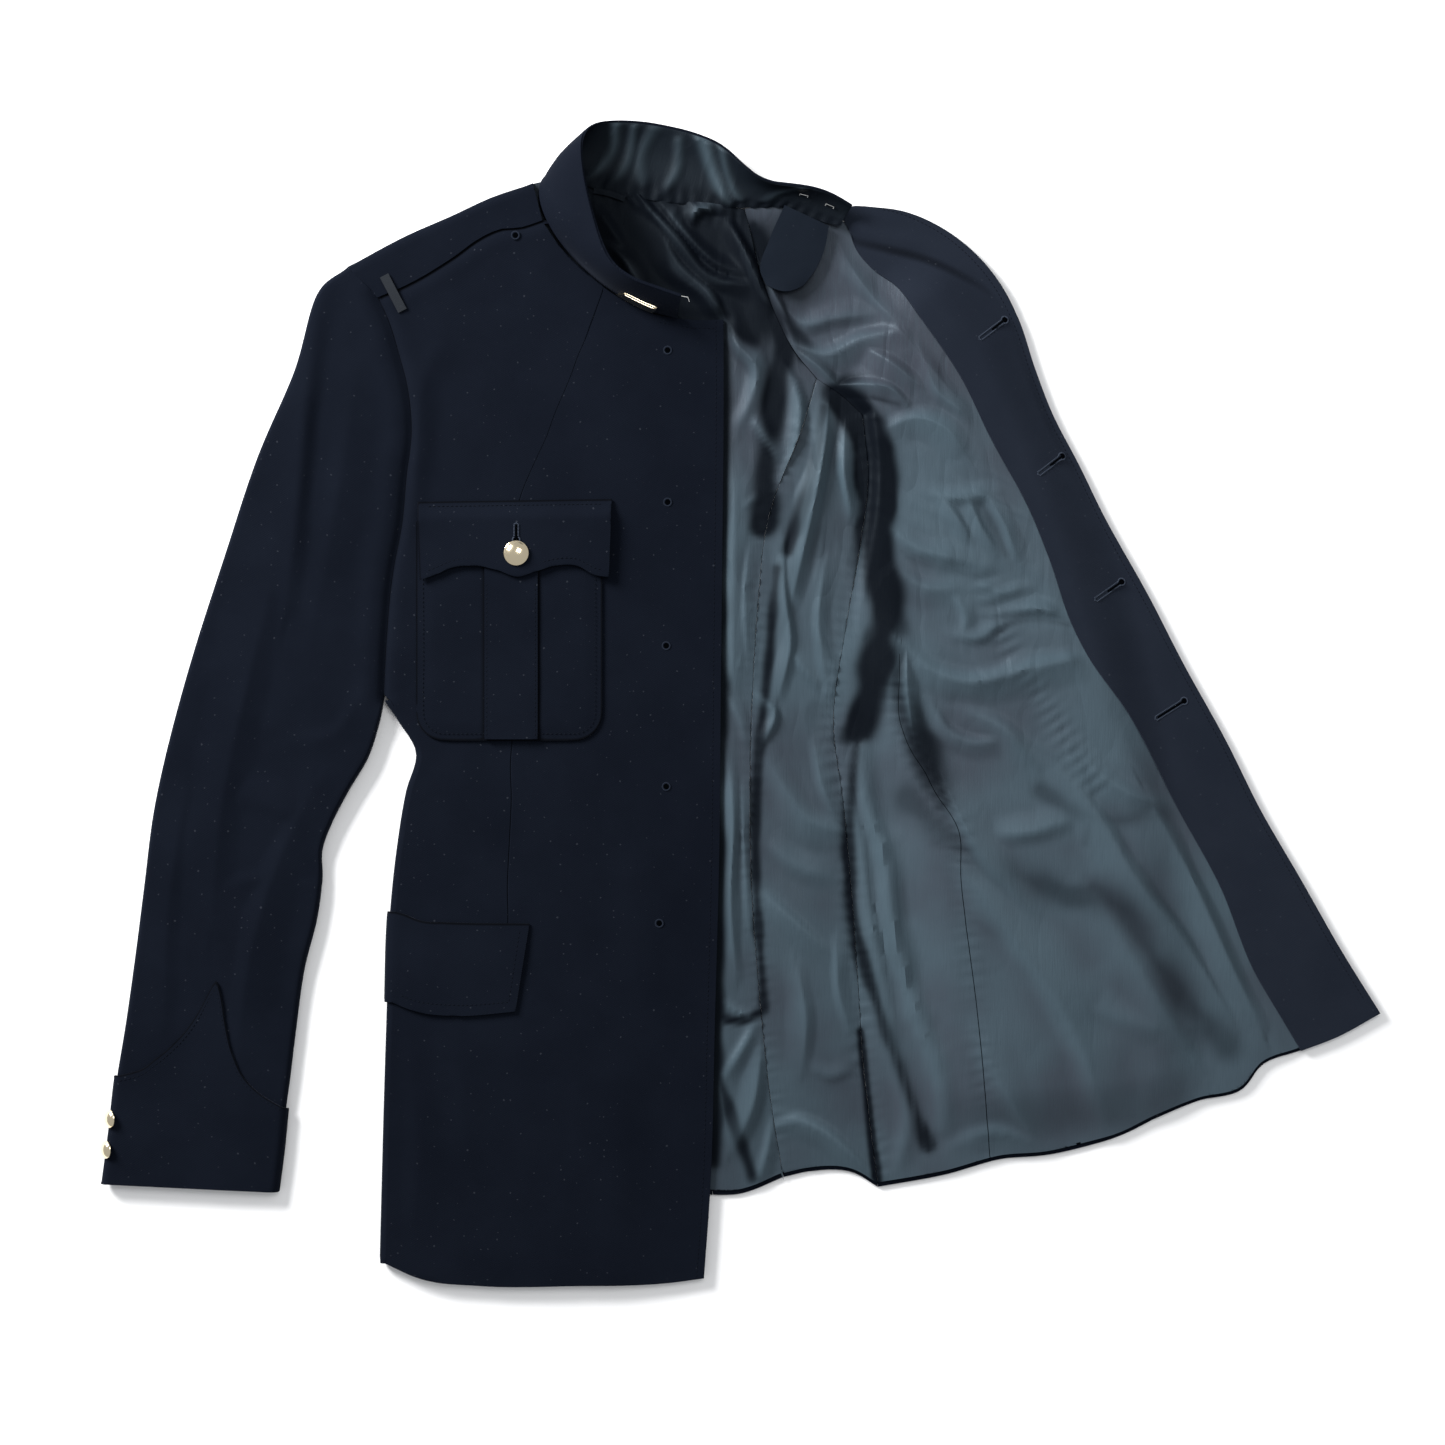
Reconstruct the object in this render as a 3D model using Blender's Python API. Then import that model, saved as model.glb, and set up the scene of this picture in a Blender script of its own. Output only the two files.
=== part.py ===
"""Dress uniform jacket, laid on its back with the wearer's left front thrown open.

The jacket lies on z = 0, hem towards -Y, collar towards +Y. Right and left are the wearer's, so the
right front lies on the -X side and the open left front on the +X side. Sizes are in millimetres and
are turned into metres when a mesh is made. Each panel is a grid of points between its seams, and what
lies on a panel is made from that panel's points, moved up.
"""
import bmesh
import bpy
import numpy as np
from mathutils import Vector

MM = 0.001
UP = np.array((0.0, 0.0, 1.0))

# Driving dimensions, in millimetres
WOOL = 2.0                # wall of the shell, with its interlining
FRONT_WALL = 2.4          # wall of the right front, which has canvas in it
LINING = 1.0              # wall of the satin lining
FACING = 1.8              # wall of the wool facing
GAP = 0.3                 # between two pieces that touch
SEAM = GAP / 2            # each side of a seam draws back by this
REST = 0.4                # between a pocket, flap or cuff and the bent cloth that it lies on
BODY_HEIGHT = 9.4         # top of the closed right front over the floor
EDGE_HEIGHT = 4.1         # underside of the right front along its front edge
CHEST_RISE = 90.0         # how far from the front edge the front reaches its full height
SIDE_TURN = 12.0          # how far the right front turns under to its side seam
SHOULDER_FLAT = 6.0       # the back bends over between this far from the shoulder fold and the fold
SLEEVE_ROUND = 4.0        # rounding along both edges of a sleeve
SLEEVE_EDGE = 1.2         # where along that rounding its middle point lies
SLEEVE_SHOULDER = 0.72    # and at what share of the way from mid height to the flat side
LEFT_SLEEVE_HEIGHT = 7.4
LEFT_DRAPE_HEIGHT = 8.0   # underside of the left front where it lies over the sleeve
LEFT_DRAPE_MARGIN = 14.0  # how far beyond the sleeve the left front stays up
LEFT_DRAPE_REACH = 30.0   # and over what distance it then comes down to the floor
FRONT_CLEARANCE = 16.0    # flat lining beside the edge of the right front
FOLD_START = 14.0         # over what distance folds beside that edge begin
HEM_SHOW = 5.0            # wool hem that shows below the lining
LINING_SIDE = 4.0         # the back's lining ends this far from the right side seam
LINING_SHOULDER = 9.0     # and this far from the shoulder fold and the back of the neck
POCKET_WALL = 1.4
PLEAT_WALL = 1.2
FLAP_WALL = 1.6
LOOP_WALL = 0.9
LOOP_WIDTH = 6.0
HANGER_WIDTH = 4.0
TAB_HEIGHT = 8.3          # underside of the collar tab, on the lining
TAB_ROUND = 4.5           # how far the tab's lower end bows out
BUTTON = dict(radius=9.0, height=5.2)
CUFF_BUTTON = dict(radius=6.5, height=4.2, level=9.6, turn=(-0.75, 0, 0.66))
BAR = dict(lift=0.6, wall=1.6)
HOOK_WIRE = 0.5           # half the thickness of the hook's wire
EYE_WIRE = 0.45           # and of the eyes' wire
HOOK_CLEAR = 1.2          # from the collar's lining to a wire's middle, as a share of its half thickness
EYE_CLEAR = 1.1
PLEAT_INSET = 1.0         # the pleat ends this far inside the pocket's top and bottom
WELD = 1e-6               # points closer than this, in metres, become one
SHARP = 0.7               # edges that bend by more than this angle, in radians, are shaded sharp
SLANT = 0.7               # each part of a direction that points half sideways and half up

# How finely things are cut
CURVE_STEPS = 12          # between two given points of a smooth line
FOLD_STEPS = 12           # along the line of a soft fold
FOLD_FADE = 0.55          # the share of a fold's height that is gone at its two ends
COVER_STEPS = 4           # along each far side of the right front's outline
SIDE_FOLD_STEPS = 60      # along the side fold, where the lower flap turns over it
CUFF_STEPS = 8
POCKET_ROWS = 6
CHEST_FLAP = dict(columns=18, rows=5)
LOWER_FLAP = dict(columns=8, rows=4)
STRIP_STEPS = 4
TAB_ROWS, TAB_COLUMNS = 5, 4
BUTTON_STEPS, CUFF_BUTTON_STEPS = 20, 16

# The rounded fold along side and shoulder, from below to above: distance in from its line, and height
FOLD_OUTSIDE = [dict(away=4.7, height=0.0), dict(away=1.3, height=1.3), dict(away=0.0, height=4.7),
                dict(away=1.3, height=8.1), dict(away=4.7, height=BODY_HEIGHT)]
FOLD_INSIDE = [dict(away=5.4, height=WOOL), dict(away=3.2, height=3.0), dict(away=2.3, height=4.7),
               dict(away=3.2, height=6.2), dict(away=5.4, height=BODY_HEIGHT - FRONT_WALL)]

# A button's face from the centre of its foot to its crown, as shares of its radius and its height
DOME = [(0, 0), (0.8, 0), (1, 0.15), (0.97, 0.35), (0.8, 0.65), (0.5, 0.88), (0, 1)]

# Outlines, as (x, y) points that a smooth line runs through
SIDE_FOLD = [(-260, -402), (-257, -286), (-255, -221), (-253, -156), (-248, -106), (-241, -63),
             (-234, -35), (-246, -14), (-257, 2)]
ARMHOLE = [(-257, 2), (-255, 45), (-250, 96), (-244, 127), (-240, 167), (-237, 189), (-240, 227),
           (-246, 250), (-253, 273), (-261, 291)]
SHOULDER_POINT = (-283, 313)
FRONT_HEM = [(-230, -413), (-187, -418), (-120, -418), (-50, -416), (-27, -413)]
FRONT_EDGE = [(-27, -413), (-23, -358), (-19, -221), (-16, -106), (-15, 0), (-14, 96), (-13, 197),
              (-13, 275)]
NECKLINE = [(-13, 275), (-37, 275), (-62, 279), (-87, 290), (-109, 306), (-127, 323), (-143.5, 346)]
SHOULDER_SEAM = [(-261, 291), (-240, 300), (-208, 319), (-185, 335), (-173, 340), (-159, 341),
                 (-143.5, 346)]
SHOULDER_FOLD = [(-283, 313), (-240, 336), (-208, 350), (-180, 363), (-150, 373)]
BACK_HEM_HIDDEN = [(-248, -401), (-190, -392), (-120, -374), (-60, -359)]
BACK_HEM_SHOWN = [(-60, -359), (-32, -354), (-1, -353), (30, -341)]
BACK_NECK = [(-150, 373), (-127, 377), (-105, 372), (-78, 366), (-50, 362), (-25, 359), (2, 355)]
BACK_SIDE_SEAM = [(30, -341), (21, -286), (13, -210), (7, -127), (6, -63), (8, 10), (12, 74), (19, 132),
                  (45, 202), (54, 233)]
VALLEY_EDGE = [(54, 233), (37, 254), (28, 271), (13, 310), (6, 340), (2, 355)]
SIDE_HEM = [(30, -341), (48, -337), (81, -338), (98, -348)]
UNDERARM = [(87, 207), (73, 220), (54, 233)]
VENT_SEAM = [(98, -348), (86, -240), (85, -223), (80, -148), (73, -71), (66, -16), (75, 55), (86, 117),
             (91, 161), (87, 207)]
LEFT_NECK = [(2, 355), (17, 357), (31, 357), (47, 351), (62, 343), (74, 340)]
EDGE_NECK = [(74, 340), (82, 348), (89, 357)]
FACING_SEAM = [(402, -250), (386, -223), (369, -194), (344, -132), (313, -75), (278, -9), (247, 35),
               (236, 57), (221, 101), (207, 136), (177, 192), (157, 233), (127, 277), (110, 300),
               (95, 310), (82, 323), (74, 340)]
LEFT_EDGE = [(459, -223), (431, -178), (402, -127), (373, -77), (348, -27), (316, 31), (294, 74),
             (258, 139), (244, 168), (222, 211), (211, 240), (199, 276), (186, 301), (168, 323),
             (143, 342), (118, 353), (89, 357)]
LEFT_HEM = [(98, -348), (147, -339), (187, -328), (220, -325), (247, -319), (273, -311), (299, -298),
            (329, -286), (360, -278), (375, -260), (402, -250)]
FACING_HEM = [(402, -250), (428, -240), (459, -223)]

# Right sleeve from armhole to cuff: outer edge, inner edge, share of the armhole's bow, height
RIGHT_SLEEVE = [
    dict(outer=(-283, 313), inner=(-257, 2), bow=1.0, height=9.4),
    dict(outer=(-305, 293), inner=(-260, -14), bow=0.85, height=10.4),
    dict(outer=(-321, 238), inner=(-268, -39), bow=0.62, height=11.0),
    dict(outer=(-348, 175), inner=(-282, -63), bow=0.38, height=11.0),
    dict(outer=(-372, 103), inner=(-294, -86), bow=0.18, height=10.6),
    dict(outer=(-393, 38), inner=(-301, -106), bow=0.06, height=10.2),
    dict(outer=(-410, -23), inner=(-301, -127), bow=0.0, height=10.0),
    dict(outer=(-422, -77), inner=(-305, -156), bow=0.0, height=9.8),
    dict(outer=(-429, -131), inner=(-314, -192), bow=0.0, height=9.4),
    dict(outer=(-435, -178), inner=(-320, -235), bow=0.0, height=9.0),
    dict(outer=(-442, -228), inner=(-324, -268), bow=0.0, height=8.8),
    dict(outer=(-449, -271), inner=(-327, -290), bow=0.0, height=8.6),
    dict(outer=(-453, -307), inner=(-330, -320), bow=0.0, height=8.4),
    dict(outer=(-458, -345), inner=(-334, -351), bow=0.0, height=8.2),
]

# Left sleeve, flat beneath the open front, from armhole to cuff
LEFT_SLEEVE = [
    dict(outer=(135, 280), inner=(101, 200)),
    dict(outer=(162, 250), inner=(105, 160)),
    dict(outer=(190, 188), inner=(112, 120)),
    dict(outer=(220, 115), inner=(120, 60)),
    dict(outer=(244, 40), inner=(129, 0)),
    dict(outer=(262, -35), inner=(143, -60)),
    dict(outer=(274, -100), inner=(154, -120)),
    dict(outer=(282, -165), inner=(161, -180)),
    dict(outer=(286, -222), inner=(167, -235)),
    dict(outer=(288, -262), inner=(171, -272)),
]

# Pointed cuff: distance of its upper edge from the sleeve's end, across the sleeve from edge to edge
CUFF_EDGE = [(0.0, 70), (0.12, 72), (0.25, 84), (0.36, 110), (0.44, 134), (0.50, 152), (0.56, 134),
             (0.64, 108), (0.76, 82), (0.88, 68), (1.0, 64)]

# Soft folds in the cloth: the line each one follows, half its width, its height
LEFT_LINING_FOLDS = [
    dict(line=[(95, 195), (103, 150), (112, 100), (119, 50), (126, 10)], half=26, rise=5.0),
    dict(line=[(130, -10), (170, -22), (205, -45), (222, -62)], half=24, rise=5.0),
    dict(line=[(117, -68), (136, -99), (179, -126), (238, -132), (278, -170)], half=26, rise=6.0),
    dict(line=[(90, -16), (92, -49), (103, -104), (112, -148), (124, -177), (143, -260)], half=22,
         rise=7.0),
    dict(line=[(215, -60), (262, -125)], half=24, rise=4.0),
    dict(line=[(262, -125), (300, -172), (352, -243)], half=28, rise=5.0),
    dict(line=[(75, 232), (118, 232), (160, 215)], half=18, rise=4.0),
    dict(line=[(110, 180), (170, 150), (212, 105)], half=28, rise=4.0),
    dict(line=[(130, 100), (190, 75), (232, 50)], half=26, rise=4.0),
    dict(line=[(22, 338), (40, 300), (56, 262)], half=18, rise=4.5),
    dict(line=[(75, 315), (108, 278), (135, 240)], half=20, rise=3.0),
    dict(line=[(150, 30), (200, 5), (246, -5)], half=24, rise=4.0),
    dict(line=[(228, -72), (300, -70)], half=20, rise=4.0),
    dict(line=[(170, -205), (228, -258), (258, -306)], half=28, rise=4.0),
]
BACK_LINING_FOLDS = [
    dict(line=[(-92, 352), (-45, 302), (-2, 262)], half=16, rise=5.0),
    dict(line=[(-58, 350), (-18, 318), (12, 285)], half=14, rise=5.0),
    dict(line=[(-20, 348), (2, 325), (10, 300)], half=13, rise=4.0),
    dict(line=[(4, 245), (10, 180), (0, 110), (-2, 30)], half=16, rise=5.0),
    dict(line=[(34, 225), (24, 175), (12, 130)], half=13, rise=4.0),
    dict(line=[(-2, 0), (-4, -70), (-2, -140), (-8, -205)], half=15, rise=4.0),
    dict(line=[(8, -225), (14, -280), (18, -330)], half=14, rise=4.0),
]
SIDE_LINING_FOLDS = [
    dict(line=[(56, 195), (40, 120), (34, 40), (36, -30)], half=18, rise=6.0),
    dict(line=[(66, 150), (60, 90), (52, 20)], half=15, rise=4.0),
    dict(line=[(52, -40), (46, -110), (56, -190)], half=17, rise=4.0),
    dict(line=[(38, -180), (42, -250), (52, -320)], half=16, rise=4.0),
]
RIGHT_FRONT_FOLDS = [
    dict(line=[(-215, 250), (-232, 215), (-234, 175)], half=22, rise=1.6),
    dict(line=[(-226, -50), (-200, -75), (-180, -100)], half=26, rise=1.6),
    dict(line=[(-205, -238), (-200, -280), (-196, -320)], half=26, rise=1.6),
    dict(line=[(-80, -250), (-86, -330), (-84, -400)], half=34, rise=1.6),
]

# Collar from the right front end round the neck: seam and free edge, as (x, y, z)
COLLAR = [
    dict(seam=(-46, 278, 7.6), edge=(-43, 288, 42)),
    dict(seam=(-70, 284, 8.2), edge=(-55, 292, 43)),
    dict(seam=(-98, 301, 9.0), edge=(-76, 299, 44)),
    dict(seam=(-115, 316, 9.4), edge=(-91, 309, 43)),
    dict(seam=(-128.5, 331, 9.6), edge=(-99, 325, 42)),
    dict(seam=(-139, 347, 9.6), edge=(-105, 345, 38)),
    dict(seam=(-144, 361, 9.0), edge=(-111, 368, 36)),
    dict(seam=(-145, 371, 8.0), edge=(-115, 391, 32)),
    dict(seam=(-140, 380, 6.0), edge=(-114, 408, 25)),
    dict(seam=(-126, 381, 4.4), edge=(-103, 416, 15)),
    dict(seam=(-105, 375, 3.6), edge=(-85, 418, 9)),
    dict(seam=(-78, 369, 3.4), edge=(-66, 417, 7)),
    dict(seam=(-50, 365, 3.4), edge=(-38, 411, 8)),
    dict(seam=(-25, 362, 3.6), edge=(-14, 401, 13)),
    dict(seam=(2, 359, 5.0), edge=(5, 380, 19)),
    dict(seam=(16, 358.5, 6.0), edge=(18, 370, 21)),
    dict(seam=(31, 360, 7.0), edge=(37, 369, 22)),
    dict(seam=(47, 353, 8.0), edge=(54, 367, 21)),
    dict(seam=(62, 346, 8.6), edge=(68, 362, 19)),
    dict(seam=(72, 344.5, 9.0), edge=(79, 355, 17)),
]
COLLAR_STEPS = 30         # around the neck
COLLAR_ROWS = 4           # up the collar
COLLAR_BOW = 3.0          # how far the collar bends out between seam and edge
COLLAR_FINE = 240         # steps that the collar's lines are smoothed on
COLLAR_SMOOTHING = 50
LINING_REACH = 0.96       # share of the collar's height that its lining covers

# Places on the collar, as shares of the way around the neck and up the collar
BAR_PLACE = dict(around=(0.05, 0.125, 4), up=(0.12, 0.4, 2))
HOOK_PLACE = dict(around=(0.0, 0.06, 3), up=(0.86, 0.9, 1))
EYE_PLACES = [dict(around=(0.902, 0.918, 2), up=(0.51, 0.59, 2)),
              dict(around=(0.957, 0.973, 2), up=(0.46, 0.54, 2))]
HOOK_BEND = [(5, -1, 1), (6, -4, 0)]

COLLAR_TAB = dict(left=[(31, 356), (20, 331), (14, 309), (18, 300)],
                  right=[(62, 341.5), (59, 326), (52, 310), (44, 299.5)])
CHEST_POCKET = dict(left=-233, right=-100, top=130, bottom=-27, corner=20)
PLEAT = dict(left=-184, right=-146)
FLAP_TOP = [(-232, 144), (-164, 145), (-93, 146)]
FLAP_FOOT = [(-230, 88), (-223, 90), (-205, 97), (-190, 98), (-175, 95), (-160, 90), (-147, 94),
             (-133, 98), (-118, 98), (-104, 91), (-95, 90)]
CHEST_BUTTON = (-161, 107)
FOLD_ABOVE_FLAP = 5       # points of the side fold from the hem to above the lower flap
FLAP_DROP = 1.5           # how much higher the lower flap's rows are where they turn over the fold
LOWER_FLAP_TOP = [(-242, -151), (-229, -156), (-212, -157), (-152, -158)]
LOWER_FLAP_FOOT = [(-247, -216), (-233, -221), (-206, -224), (-162, -221)]
SHOULDER_LOOP = [(-256, 306), (-243, 281)]
HANGER_LOOP = [(-106, 368), (-96, 366), (-84, 362)]
CUFF_BUTTON_PLACES = [-298.0, -320.0]

FINISHES = {
    "wool": dict(colour=(0.0085, 0.0115, 0.0185), roughness=0.9, metallic=0.0),
    "satin": dict(colour=(0.035, 0.052, 0.06), roughness=0.45, metallic=0.0),
    "ribbon": dict(colour=(0.006, 0.007, 0.009), roughness=0.4, metallic=0.0),
    "gilt": dict(colour=(0.78, 0.66, 0.45), roughness=0.18, metallic=1.0),
    "steel": dict(colour=(0.75, 0.75, 0.74), roughness=0.25, metallic=1.0),
}


def clear_scene():
    for thing in list(bpy.data.objects):
        bpy.data.objects.remove(thing)


def finish(name):
    """The material of one finish, made once."""
    made = bpy.data.materials.get(name)
    if made:
        return made
    made = bpy.data.materials.new(name)
    made.use_nodes = True
    shader = made.node_tree.nodes["Principled BSDF"]
    shader.inputs["Base Color"].default_value = (*FINISHES[name]["colour"], 1)
    shader.inputs["Roughness"].default_value = FINISHES[name]["roughness"]
    shader.inputs["Metallic"].default_value = FINISHES[name]["metallic"]
    return made


def add_object(name, mesh, finish_name):
    """Turn a bmesh in metres into a smooth-shaded object."""
    bmesh.ops.recalc_face_normals(mesh, faces=mesh.faces[:])
    data = bpy.data.meshes.new(name)
    mesh.to_mesh(data)
    mesh.free()
    data.shade_smooth()
    data.set_sharp_from_angle(angle=SHARP)
    data.materials.append(finish(finish_name))
    thing = bpy.data.objects.new(name, data)
    bpy.context.scene.collection.objects.link(thing)
    return thing


# Lines and grids

def smooth_line(points, count):
    """Points along a smooth curve through the given points: count even steps, or at a list of shares."""
    shares = np.linspace(0, 1, count + 1) if np.isscalar(count) else np.asarray(count)
    knots = np.array(points, float)
    chord = np.r_[0, np.cumsum(np.linalg.norm(np.diff(knots, axis=0), axis=1))]
    if len(knots) == 2:
        return knots[0] + shares[:, None] * (knots[1] - knots[0])
    slopes = np.gradient(knots, chord, axis=0)
    fine = []
    for start in range(len(knots) - 1):
        span = chord[start + 1] - chord[start]
        s = np.linspace(0, 1, CURVE_STEPS + 1)[:, None]
        fine.append((2 * s**3 - 3 * s**2 + 1) * knots[start]
                    + (s**3 - 2 * s**2 + s) * span * slopes[start]
                    + (3 * s**2 - 2 * s**3) * knots[start + 1]
                    + (s**3 - s**2) * span * slopes[start + 1])
    fine = np.vstack([piece[:-1] for piece in fine] + [knots[-1:]])
    run = np.r_[0, np.cumsum(np.linalg.norm(np.diff(fine, axis=0), axis=1))]
    wanted = shares * run[-1]
    return np.column_stack([np.interp(wanted, run, fine[:, axis]) for axis in range(knots.shape[1])])


def chain(*stretches):
    """Several smooth lines end to end, each given as (points, count)."""
    lines = [smooth_line(points, count) for points, count in stretches]
    return np.vstack([line[:-1] for line in lines[:-1]] + [lines[-1]])


def halved(line):
    """The same line with a point in the middle of each stretch."""
    own = np.arange(len(line))
    wanted = np.linspace(0, len(line) - 1, 2 * len(line) - 1)
    return np.column_stack([np.interp(wanted, own, line[:, axis]) for axis in range(line.shape[1])])


def shifted(line, distance):
    """The line moved to its left by distance."""
    along = np.gradient(line, axis=0)
    along /= np.linalg.norm(along, axis=1)[:, None]
    return line + distance * np.column_stack([-along[:, 1], along[:, 0]])


def patch(foot, head, left, right, shares=None):
    """A grid of points that fills four edges. Foot and head run left to right, the sides run up."""
    shares = np.linspace(0, 1, len(foot)) if shares is None else np.asarray(shares)
    across = shares[None, :, None]
    up = np.linspace(0, 1, len(left))[:, None, None]
    rows = (1 - up) * foot[None] + up * head[None]
    columns = (1 - across) * left[:, None] + across * right[:, None]
    corners = ((1 - across) * (1 - up) * foot[0] + across * (1 - up) * foot[-1]
               + (1 - across) * up * head[0] + across * up * head[-1])
    return rows + columns - corners


def between(start, line, end):
    """The line with its two ends moved to start and end."""
    return np.vstack([start, line[1:-1], end])


def towards(line, other, distance):
    """The line moved by distance, point by point, towards another line."""
    way = other - line
    return line + way / np.linalg.norm(way, axis=1)[:, None] * distance


def raised(grid, heights):
    """Grid points (x, y) with their heights."""
    return np.dstack([grid[:, :, 0], grid[:, :, 1], heights + np.zeros(grid.shape[:2])])


def ease(share):
    """A smooth step from 0 to 1."""
    share = np.clip(share, 0, 1)
    return share * share * (3 - 2 * share)


def distance_to_line(grid, line):
    """How far each grid point is from a line of points, and the share of the line where it is nearest."""
    points = grid[..., :2]
    best = np.full(points.shape[:-1], np.inf)
    share = np.zeros(points.shape[:-1])
    last = len(line) - 1
    for index in range(last):
        start, end = line[index], line[index + 1]
        run = end - start
        place = np.clip(((points - start) @ run) / (run @ run), 0, 1)
        gap = np.linalg.norm(points - (start + place[..., None] * run), axis=-1)
        nearer = gap < best
        best = np.where(nearer, gap, best)
        share = np.where(nearer, (index + place) / last, share)
    return best, share


def inside(grid, outline):
    """Which grid points lie inside a closed outline."""
    x, y = grid[..., 0], grid[..., 1]
    found = np.zeros(x.shape, bool)
    for start, end in zip(outline, np.roll(outline, -1, axis=0)):
        crosses = (start[1] > y) != (end[1] > y)
        reach = start[0] + (y - start[1]) * (end[0] - start[0]) / (end[1] - start[1] + 1e-9)
        found ^= crosses & (x < reach)
    return found


def fold_heights(grid, folds):
    """Heights of soft folds over a grid, fading out at each fold's ends."""
    heights = np.zeros(grid.shape[:2])
    for fold in folds:
        away, share = distance_to_line(grid, smooth_line(fold["line"], FOLD_STEPS))
        hump = np.clip(1 - (away / fold["half"])**2, 0, 1)**2
        fade = 1 - FOLD_FADE * (1 - np.sin(np.pi * np.clip(share, 0, 1)))
        heights = np.maximum(heights, fold["rise"] * hump * fade)
    return heights


# Solids from grids

def cloth(name, under, over, finish_name, keep=None):
    """A closed sheet of cloth between two grids of points."""
    rows, columns = under.shape[:2]
    mesh = bmesh.new()
    bmesh.ops.create_grid(mesh, x_segments=columns - 1, y_segments=rows - 1, size=1)
    place = mesh.verts.layers.int.new("place")
    for vert in mesh.verts:
        column = round((vert.co.x + 1) / 2 * (columns - 1))
        row = round((vert.co.y + 1) / 2 * (rows - 1))
        vert[place] = row * columns + column
    if keep is not None:
        spare = [face for face in mesh.faces
                 if not keep(min(vert[place] for vert in face.verts) // columns,
                             min(vert[place] % columns for vert in face.verts))]
        bmesh.ops.delete(mesh, geom=spare, context="FACES")
    bmesh.ops.triangulate(mesh, faces=mesh.faces[:], quad_method="FIXED")
    lower = mesh.verts[:]
    made = bmesh.ops.extrude_face_region(mesh, geom=mesh.faces[:], use_keep_orig=True)
    upper = [item for item in made["geom"] if isinstance(item, bmesh.types.BMVert)]
    for verts, points in ((lower, under), (upper, over)):
        flat = points.reshape(-1, 3)
        for vert in verts:
            vert.co = Vector(flat[vert[place]]) * MM
    return add_object(name, mesh, finish_name)


def tube(name, rings, finish_name):
    """A closed skin through rings of points, from the last ring back to the first."""
    steps, around = rings.shape[:2]
    mesh = bmesh.new()
    bmesh.ops.create_grid(mesh, x_segments=around, y_segments=steps, size=1)
    for vert in mesh.verts:
        column = round((vert.co.x + 1) / 2 * around) % around
        row = round((vert.co.y + 1) / 2 * steps) % steps
        vert.co = Vector(rings[row, column]) * MM
    bmesh.ops.remove_doubles(mesh, verts=mesh.verts[:], dist=WELD)
    bmesh.ops.triangulate(mesh, faces=mesh.faces[:], quad_method="FIXED")
    return add_object(name, mesh, finish_name)


def dome(radius, height):
    """The profile of a button's face, in millimetres."""
    return [(radius * across, height * up) for across, up in DOME]


def turned(name, profile, base, axis, finish_name, steps):
    """A turned piece. The profile lists (radius, height) from the centre of its foot to its crown."""
    mesh = bmesh.new()
    verts = [mesh.verts.new((radius * MM, 0, height * MM)) for radius, height in profile]
    edges = [mesh.edges.new(pair) for pair in zip(verts, verts[1:])]
    bmesh.ops.spin(mesh, geom=verts + edges, cent=(0, 0, 0), axis=(0, 0, 1), angle=2 * np.pi,
                   steps=steps, use_merge=True)
    bmesh.ops.remove_doubles(mesh, verts=mesh.verts[:], dist=WELD)
    turn = Vector((0, 0, 1)).rotation_difference(Vector(axis)).to_matrix()
    for vert in mesh.verts:
        vert.co = turn @ vert.co + Vector(base) * MM
    return add_object(name, mesh, finish_name)


def wire(name, points, radius, finish_name):
    """A bent wire through the given points, closed flat at both ends."""
    path = bpy.data.curves.new(name, "CURVE")
    path.dimensions = "3D"
    path.bevel_depth = radius * MM
    path.bevel_resolution = 1
    path.use_fill_caps = True
    line = path.splines.new("POLY")
    line.points.add(len(points) - 1)
    for point, place in zip(line.points, points):
        point.co = (*(Vector(place) * MM), 1)
    path.materials.append(finish(finish_name))
    thing = bpy.data.objects.new(name, path)
    bpy.context.scene.collection.objects.link(thing)
    return thing


# The body panels, as grids that the cloth is made from

SIDE_ROWS, ARMHOLE_ROWS = 10, 9
EDGE_ROWS, NECK_ROWS = 13, 6
FRONT_COLUMNS = 12
SEAM_ROWS, UNDERARM_ROWS, VALLEY_ROWS = 15, 4, 5
HIDDEN_COLUMNS, SHOWN_COLUMNS = 6, 7
CENTRE_BACK = 9           # the column of the back that its centre seam follows
SIDE_COLUMNS = 4
FACING_COLUMNS = 3
LINING_SHARES = [0, 0.03, 0.08, 0.14, 0.21, 0.28, 0.35, 0.42, 0.49, 0.56, 0.63, 0.70, 0.77, 0.85, 0.93, 1]
LINING_COLUMNS = len(LINING_SHARES) - 1


def armhole_line():
    """The corners of the armhole seam from underarm to shoulder seam, shared by what meets there."""
    return smooth_line(ARMHOLE, ARMHOLE_ROWS)


def front_height(grid):
    """Underside of the right front: low along its front edge, full over the chest and side."""
    edge = chain((FRONT_EDGE, EDGE_ROWS), (NECKLINE, NECK_ROWS))
    away, _ = distance_to_line(grid, edge[:EDGE_ROWS + 1])
    rise = (BODY_HEIGHT - FRONT_WALL - EDGE_HEIGHT) * ease(away / CHEST_RISE)
    return EDGE_HEIGHT + rise + fold_heights(grid, RIGHT_FRONT_FOLDS)


def front_top(grid):
    """Upper face of the right front."""
    return front_height(grid) + FRONT_WALL


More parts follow.
